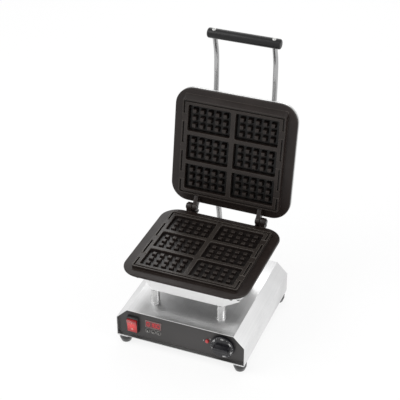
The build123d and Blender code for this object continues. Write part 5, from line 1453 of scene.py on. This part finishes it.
rocker_outline = []
for step in range(DISH_STEPS + 1):
    height = rocker_edge * (2 * step / DISH_STEPS - 1)
    rocker_outline.append((height, rocker_front(height)))
top_angle = math.asin(ROCKER_FRONT / ROCKER_R)
arc_angle = top_angle + math.asin(ROCKER_BACK / ROCKER_R)
arc = []
for step in range(1, ROCKER_ARC_STEPS + 1):
    angle = top_angle - arc_angle * step / ROCKER_ARC_STEPS
    arc.append((ROCKER_R * math.cos(angle), ROCKER_R * math.sin(angle)))
rocker_outline += arc + [(-height, front) for height, front in reversed(arc)]
rocker_rings = []
for share, inset in ROCKER_SLICES.items():
    shrink = 1 - inset / ROCKER_R
    ring = []
    for height, front in rocker_outline:
        front = front * shrink - inset * ROCKER_FRONT_EASE
        ring.append(rocker_pivot @ Vector((share * ROCKER_W / 2, height * shrink, front)))
    rocker_rings.append(ring)
rocker = eased(skin(rocker_rings), ROCKER_EASE, 3, 40.0)
fitted("lit_rocker", [rocker], lens_red, "rocker", ["power_rocker"])


def on_rocker(x, y, level):
    """Point at a level about the rocker's dished front."""
    return rocker_pivot @ Vector((x, y, rocker_front(y) + level))


mark_paint = pebbled(
    "rose_print", (0.70, 0.42, 0.38), (0.80, 0.52, 0.48), 0.5, 1200.0, 0.00001, 200.0
)
mark_plan = [
    (x * MARK_LINE / 2, MARK_UP + y * MARK_R) for x, y in ((-1, -1), (1, -1), (1, 1), (-1, 1))
]
on_mark = skin([[on_rocker(*p, level) for p in mark_plan] for level in (MARK_SINK, MARK_PROUD)])
off_rings = []
for step in range(MARK_SIDES):
    angle = 2 * math.pi * step / MARK_SIDES
    ring = []
    for side, level in ((1, MARK_SINK), (1, MARK_PROUD), (-1, MARK_PROUD), (-1, MARK_SINK)):
        reach = MARK_R + side * MARK_LINE / 2
        ring.append(on_rocker(reach * math.cos(angle), reach * math.sin(angle) - MARK_UP, level))
    off_rings.append(ring)
off_mark = skin(off_rings, closed=True)
fitted("rocker_marks", [on_mark, off_mark], mark_paint, "rocker")

# Temperature display
# A dark red window in a pale snap-in frame, with lit seven-bar figures behind it, and
# the control board on standoffs behind the panel.
DISPLAY_X = -0.0672
DISPLAY_Z = 0.068
DISPLAY = (0.036, 0.0165)
FRAME_OUT = (0.0395, 0.020)
FRAME_TOP = (0.0385, 0.019)
FRAME_IN = (0.0364, 0.0169)
FRAME_OUT_R, FRAME_TOP_R, FRAME_IN_R, WINDOW_R = 0.0012, 0.0010, 0.0003, 0.0002
FRAME_PROUD = 0.0016
FRAME_EASE, FRAME_LIP = 0.0005, 0.0003
WINDOW_PROUD = 0.001
DIGIT_HALF = (0.0029, 0.0054)
DIGIT_PITCH = 0.0083
BAR_W = 0.00115
BAR_GAP = 0.18 * BAR_W
PRINT_SINK = -0.0002
PRINT_PROUD = 0.00006
SHOWN = "0180"
BARS = {"0": "abcdef", "1": "bc", "8": "abcdefg"}
# Ends of each bar as shares of a figure's half width and half height.
BAR_ENDS = {
    "a": ((-1, 1), (1, 1)),
    "b": ((1, 1), (1, 0)),
    "c": ((1, 0), (1, -1)),
    "d": ((-1, -1), (1, -1)),
    "e": ((-1, 0), (-1, -1)),
    "f": ((-1, 1), (-1, 0)),
    "g": ((-1, 0), (1, 0)),
}

frame_levels = [
    (*DISPLAY, WINDOW_R, 0.0),
    (*FRAME_OUT, FRAME_OUT_R, 0.0),
    (*FRAME_OUT, FRAME_OUT_R, FRAME_PROUD - FRAME_EASE),
    (*FRAME_TOP, FRAME_TOP_R, FRAME_PROUD),
    (*FRAME_IN, FRAME_IN_R, FRAME_PROUD),
    (*DISPLAY, WINDOW_R, FRAME_PROUD - FRAME_LIP),
]
frame_plastic = pebbled(
    "dull_frame_plastic", (0.20, 0.125, 0.12), (0.27, 0.175, 0.165), 0.4, 900.0, 0.00002, 60.0
)
window_frame = skin(framed_rings(frame_levels, on_panel(DISPLAY_X, DISPLAY_Z)), closed=True)
fitted("window_frame", [window_frame], frame_plastic, "base", ["display_frame"])

window_red, window_tree, window_shader, window_grain, window_cloud = grained(
    "smoked_red_window", 300.0, 70.0
)
window_tone = span(window_tree, window_cloud, (0.35, 0.65))
window_sockets = {
    "Base Color": blended(window_tree, window_tone, (0.085, 0.003, 0.010), (0.15, 0.006, 0.012)),
    "Roughness": span(window_tree, window_cloud, NOISE, (0.10, 0.2)),
    "Coat Weight": 0.5,
}
feed(window_tree, window_shader, window_sockets)
bumped(window_tree, window_shader, window_grain, 0.00001, 0.3)
dressed(["display_window"], window_red)


def lit_red(name, scale, cloud, dark, light, glow_dark, glow_light, glow):
    """Red plastic lit from behind, with its tree, its shader and its grain."""
    finish, tree, shader, grain, clouds = grained(name, scale, cloud)
    tone = span(tree, clouds)
    sockets = {
        "Base Color": blended(tree, tone, dark, light),
        "Emission Color": blended(tree, tone, glow_dark, glow_light),
        "Emission Strength": glow,
    }
    feed(tree, shader, sockets)
    return finish, tree, shader, grain


lit_bar = lit_red(
    "lit_figure_bars", 900.0, 400.0, (0.42, 0.012, 0.014), (0.60, 0.020, 0.020),
    (0.34, 0.008, 0.010), (0.50, 0.014, 0.014), 0.6,
)[0]


def flat_sign(plan, place):
    """Thin printed sign from a plan."""
    rings = [[place @ Vector((x, y, z)) for x, y in plan] for z in (PRINT_SINK, PRINT_PROUD)]
    return skin(rings)


def figure_bar(ends, place):
    """One pointed bar of a seven-bar figure, laid on its window."""
    a, b = [Vector((x * DIGIT_HALF[0], y * DIGIT_HALF[1])) for x, y in ends]
    along = (b - a).normalized()
    across = Vector((-along.y, along.x)) * BAR_W / 2
    a, b = a + along * BAR_GAP, b - along * BAR_GAP
    tip = along * BAR_W / 2
    plan = [a, a + tip + across, b - tip + across, b, b - tip - across, a + tip - across]
    return flat_sign(plan, place)


figure_parts = []
for index, figure in enumerate(SHOWN):
    figure_x = DISPLAY_X + (index - (len(SHOWN) - 1) / 2) * DIGIT_PITCH
    for bar in BARS[figure]:
        bar_place = on_panel(figure_x, DISPLAY_Z, WINDOW_PROUD)
        figure_parts.append(figure_bar(BAR_ENDS[bar], bar_place))
fitted("temperature_figures", figure_parts, lit_bar, "base")

board_green = pebbled(
    "green_board", (0.012, 0.10, 0.035), (0.02, 0.15, 0.05), 0.4, 600.0, 0.00003, 70.0
)
dressed(["control_board"], board_green)
dressed(["board_standoffs"], zinc)

# Push buttons
# Three small keys under the display, moulded in dark nylon, each with a pale printed
# ring and a plain sign on its face, sprung back by the switch behind it.
BUTTON_XS = (-0.0812, -0.0673, -0.0539)
BUTTON_Z = 0.048
BUTTON_R = 0.00325
BUTTON_PROUD = 0.0022
BUTTON_ROOT = -0.002
BUTTON_EASE = 0.0007
# Radius, back and front of the parts of a key behind its cap.
KEY_STEM = (0.0015, -0.0138, -0.002)
KEY_COLLAR = (0.0046, -0.0033, -0.0021)
RING_R = 0.0052
RING_LINE = 0.00055
SIGN = 0.0016
SIGN_LOW = 0.6 * SIGN
SIGN_SQUARE = 0.8 * SIGN
SIGNS = {
    "left": [(x * SIGN_SQUARE, y * SIGN_SQUARE) for x, y in ((-1, -1), (1, -1), (1, 1), (-1, 1))],
    "middle": [(-SIGN, -SIGN_LOW), (SIGN, -SIGN_LOW), (0.0, SIGN)],
    "right": [(-SIGN, SIGN_LOW), (0.0, -SIGN), (SIGN, SIGN_LOW)],
}
button_black = pebbled(
    "key_nylon", (0.035, 0.034, 0.034), (0.05, 0.049, 0.048), 0.42, 1000.0, 0.00002, 90.0
)
key_print = pebbled(
    "key_print", (0.40, 0.39, 0.37), (0.54, 0.52, 0.50), 0.5, 1200.0, 0.00001, 200.0
)


def peg(radius, low_z, high_z, place, sides):
    """Plain round peg."""
    return turned(oblong(AXIS, radius, low_z, high_z), place, sides, hollow=False)


cap_section = oblong(AXIS, BUTTON_R, BUTTON_ROOT, BUTTON_PROUD)
cap = softened(cap_section, [0, 0, BUTTON_EASE, 0], closed=False)
ring_section = oblong(RING_R - RING_LINE / 2, RING_R + RING_LINE / 2, PRINT_SINK, PRINT_PROUD)
ring_parts = []
for (name, sign), x in zip(SIGNS.items(), BUTTON_XS):
    face = on_panel(x, BUTTON_Z)
    key = [turned(cap, face, 40, hollow=False)]
    key += [peg(*KEY_STEM, face, 24), peg(*KEY_COLLAR, face, 40)]
    sign_part = flat_sign(sign, on_panel(x, BUTTON_Z, BUTTON_PROUD))
    body = f"button_{name}"
    fitted(f"{name}_key", key, button_black, body, [f"{name}_button"])
    fitted(f"{name}_key_sign", [sign_part], key_print, body)
    ring_parts.append(turned(ring_section, face, 44))
fitted("key_rings", ring_parts, key_print, "base")

# Pilot lamp
# A red domed lens in a thin collar, clipped into the panel and held by a nut behind.
# A small white dot is printed to its left.
LAMP_X = 0.064
LAMP_Z = 0.0625
LAMP_R = 0.0045
LAMP_NECK_R = 0.0035
LAMP_NECK_L = 0.022
LAMP_PROUD = 0.002
LAMP_DOME = 0.003
LAMP_STEPS = 8
DOT_SPOT = (0.055, 0.062)
DOT_R = 0.0011
lamp_red, lamp_tree, lamp_shader, lamp_grain = lit_red(
    "red_lamp_lens", 400.0, 240.0, (0.36, 0.012, 0.016), (0.55, 0.02, 0.022),
    (0.05, 0.001, 0.002), (0.12, 0.004, 0.004), 0.5,
)
lamp_rough = span(lamp_tree, lamp_grain, NOISE, (0.12, 0.2))
feed(lamp_tree, lamp_shader, {"Roughness": lamp_rough, "Coat Weight": 0.7})
lamp_profile = [
    (AXIS, -LAMP_NECK_L),
    (LAMP_NECK_R, -LAMP_NECK_L),
    (LAMP_NECK_R, 0.0),
    (LAMP_R, 0.0),
    (LAMP_R, LAMP_PROUD),
]
for step in range(1, LAMP_STEPS + 1):
    angle = math.pi / 2 * step / LAMP_STEPS
    rise = LAMP_PROUD + LAMP_DOME * math.sin(angle)
    lamp_profile.append((LAMP_R * math.cos(angle) + AXIS, rise))
lamp = turned(lamp_profile, on_panel(LAMP_X, LAMP_Z), 48, hollow=False)
fitted("domed_lamp", [lamp], lamp_red, "base", ["pilot_lamp"])
dressed(["panel_nuts"], zinc)
print_white = pebbled(
    "white_print", (0.70, 0.70, 0.69), (0.80, 0.80, 0.79), 0.5, 1200.0, 0.00001, 200.0
)
dot = peg(DOT_R, PRINT_SINK, PRINT_PROUD, on_panel(*DOT_SPOT), 24)

# Thermostat knob
# A black moulded knob with a broad numbered skirt and a bar grip is pressed onto the
# thermostat's shaft. A black bezel ring lies under it, and a white mark beside it.
KNOB_X = 0.1015
KNOB_Z = 0.061
KNOB_R = 0.028
KNOB_INSIDE_R = 0.024
KNOB_WALL = 0.0022
KNOB_BACK = 0.0022
KNOB_FACE = 0.009
HUB_R = (0.003, 0.006)
HUB_BACK = 0.0062
GRIP_BAR_L = 0.038
GRIP_BAR_W = 0.010
GRIP_BAR_TOP = 0.022
GRIP_BAR_EASE = 0.0016
GRIP_BAR_LEAN = 0.0005
GRIP_BAR_SINK = 0.001
GRIP_BAR_FLARE = 0.0008
BEZEL_R = (0.009, 0.0292)
BEZEL_T = 0.0015
BEZEL_EASE = 0.0006
SKIRT_ROUNDS = [0, 0.0005, 0.0003, 0.0005, 0.0017, 0]
NUMBERS = ("50", "100", "150", "200", "250", "300")
NUMBER_R = 0.0232
NUMBER_SIZE = 0.0052
NUMBER_WEIGHT = 0.00008
FIRST_ANGLE = 200.0
NUMBER_STEP = 55.0
TICK_R = 0.0252
TICK_HALF = (0.0009, 0.0002)
TICKS_BETWEEN = 3
INDEX_SPOT = (0.071, 0.0695)
INDEX_TURN = -16
INDEX_ENDS = (-0.0016, 0.0012)
INDEX_HALF_W = 0.0005

knob_black = pebbled(
    "satin_knob_plastic", (0.006, 0.006, 0.008), (0.011, 0.0105, 0.014), 0.20, 900.0, 0.00001,
    60.0,
)
knob_place = on_panel(KNOB_X, KNOB_Z)
bezel_profile = softened(oblong(*BEZEL_R, 0.0, BEZEL_T), [0, 0, BEZEL_EASE, 0], 4)
bezel = turned(bezel_profile, knob_place, 96)
fitted("bezel_ring", [bezel], black_plastic, "base", ["knob_bezel"])
skirt_section = [
    (AXIS, KNOB_FACE - KNOB_WALL),
    (KNOB_INSIDE_R, KNOB_FACE - KNOB_WALL),
    (KNOB_INSIDE_R, KNOB_BACK),
    (KNOB_R, KNOB_BACK),
    (KNOB_R, KNOB_FACE),
    (AXIS, KNOB_FACE),
]
skirt_profile = softened(skirt_section, SKIRT_ROUNDS, closed=False)
grip_levels = [(KNOB_FACE - GRIP_BAR_SINK, -GRIP_BAR_FLARE), (KNOB_FACE + GRIP_BAR_FLARE, 0.0)]
for eighths in range(5):
    angle = eighths * math.pi / 8
    level = GRIP_BAR_TOP - GRIP_BAR_EASE + GRIP_BAR_EASE * math.sin(angle)
    grip_levels.append((level, GRIP_BAR_LEAN + GRIP_BAR_EASE * (1 - math.cos(angle))))
bar_end = (GRIP_BAR_L - GRIP_BAR_W) / 2
bar_rings = []
for level, inset in grip_levels:
    ring = []
    for point in round_ring(GRIP_BAR_W / 2 - inset, level, 48):
        point.x += bar_end if point.x >= 0 else -bar_end
        ring.append(knob_place @ point)
    bar_rings.append(ring)
hub = turned(oblong(*HUB_R, HUB_BACK, KNOB_FACE), knob_place, 32)
knob_parts = [turned(skirt_profile, knob_place, 96, hollow=False), skin(bar_rings), hub]
fitted("numbered_knob", knob_parts, knob_black, "knob", ["control_knob"])


def printed_number(text, place):
    """Raised print of a plain number, centred on its place."""
    words = bpy.data.curves.new("number", "FONT")
    words.body = text
    words.size = NUMBER_SIZE
    words.align_x = words.align_y = "CENTER"
    words.extrude = PRINT_PROUD
    words.offset = NUMBER_WEIGHT
    shaped = shaped_data(placed("number", words))
    shaped.transform(place)
    return shaped


number_parts = []
tick_plan = [(x * TICK_HALF[0], y * TICK_HALF[1]) for x, y in ((-1, -1), (1, -1), (1, 1), (-1, 1))]
for index, number in enumerate(NUMBERS):
    angle = math.radians(FIRST_ANGLE - index * NUMBER_STEP)
    spot = Vector((NUMBER_R * math.cos(angle), NUMBER_R * math.sin(angle), KNOB_FACE))
    number_turn = Matrix.Rotation(angle - math.pi / 2, 4, "Z")
    number_place = knob_place @ Matrix.Translation(spot) @ number_turn
    number_parts.append(printed_number(number, number_place))
    for tick in range(1, TICKS_BETWEEN + 1 if index < len(NUMBERS) - 1 else 1):
        angle = FIRST_ANGLE - (index + tick / (TICKS_BETWEEN + 1)) * NUMBER_STEP
        tick_turn = Matrix.Rotation(math.radians(angle), 4, "Z")
        tick_place = knob_place @ tick_turn @ Matrix.Translation((TICK_R, 0, KNOB_FACE))
        number_parts.append(flat_sign(tick_plan, tick_place))
fitted("knob_numbers", number_parts, print_white, "knob")
index_place = on_panel(*INDEX_SPOT) @ Matrix.Rotation(math.radians(INDEX_TURN), 4, "Z")
index_mark = flat_sign(oblong(*INDEX_ENDS, -INDEX_HALF_W, INDEX_HALF_W), index_place)
fitted("panel_prints", [dot, index_mark], print_white, "base")
brass = pebbled(
    "turned_brass", (0.55, 0.40, 0.17), (0.68, 0.50, 0.22), 0.25, 700.0, 0.00001, 80.0, 1.0
)
dressed(["thermostat_shaft"], brass)
dressed(["thermostat_body"], black_plastic)

# Wiring and contactor
# A contactor and a terminal block on the floor feed the element through two silicone
# leads, and a copper capillary joins the bulb under the plate to the thermostat.
copper = pebbled(
    "drawn_copper", (0.60, 0.24, 0.12), (0.74, 0.33, 0.18), 0.3, 800.0, 0.00001, 60.0, 1.0
)
silicone = pebbled(
    "silicone_sleeve", (0.50, 0.48, 0.44), (0.60, 0.58, 0.54), 0.55, 1000.0, 0.00002, 50.0
)
dressed(["thermostat_capillary"], copper)
dressed(["element_leads"], silicone)
dressed(["contactor", "terminal_block"], black_plastic)
dressed(["mounting_screws"], zinc)
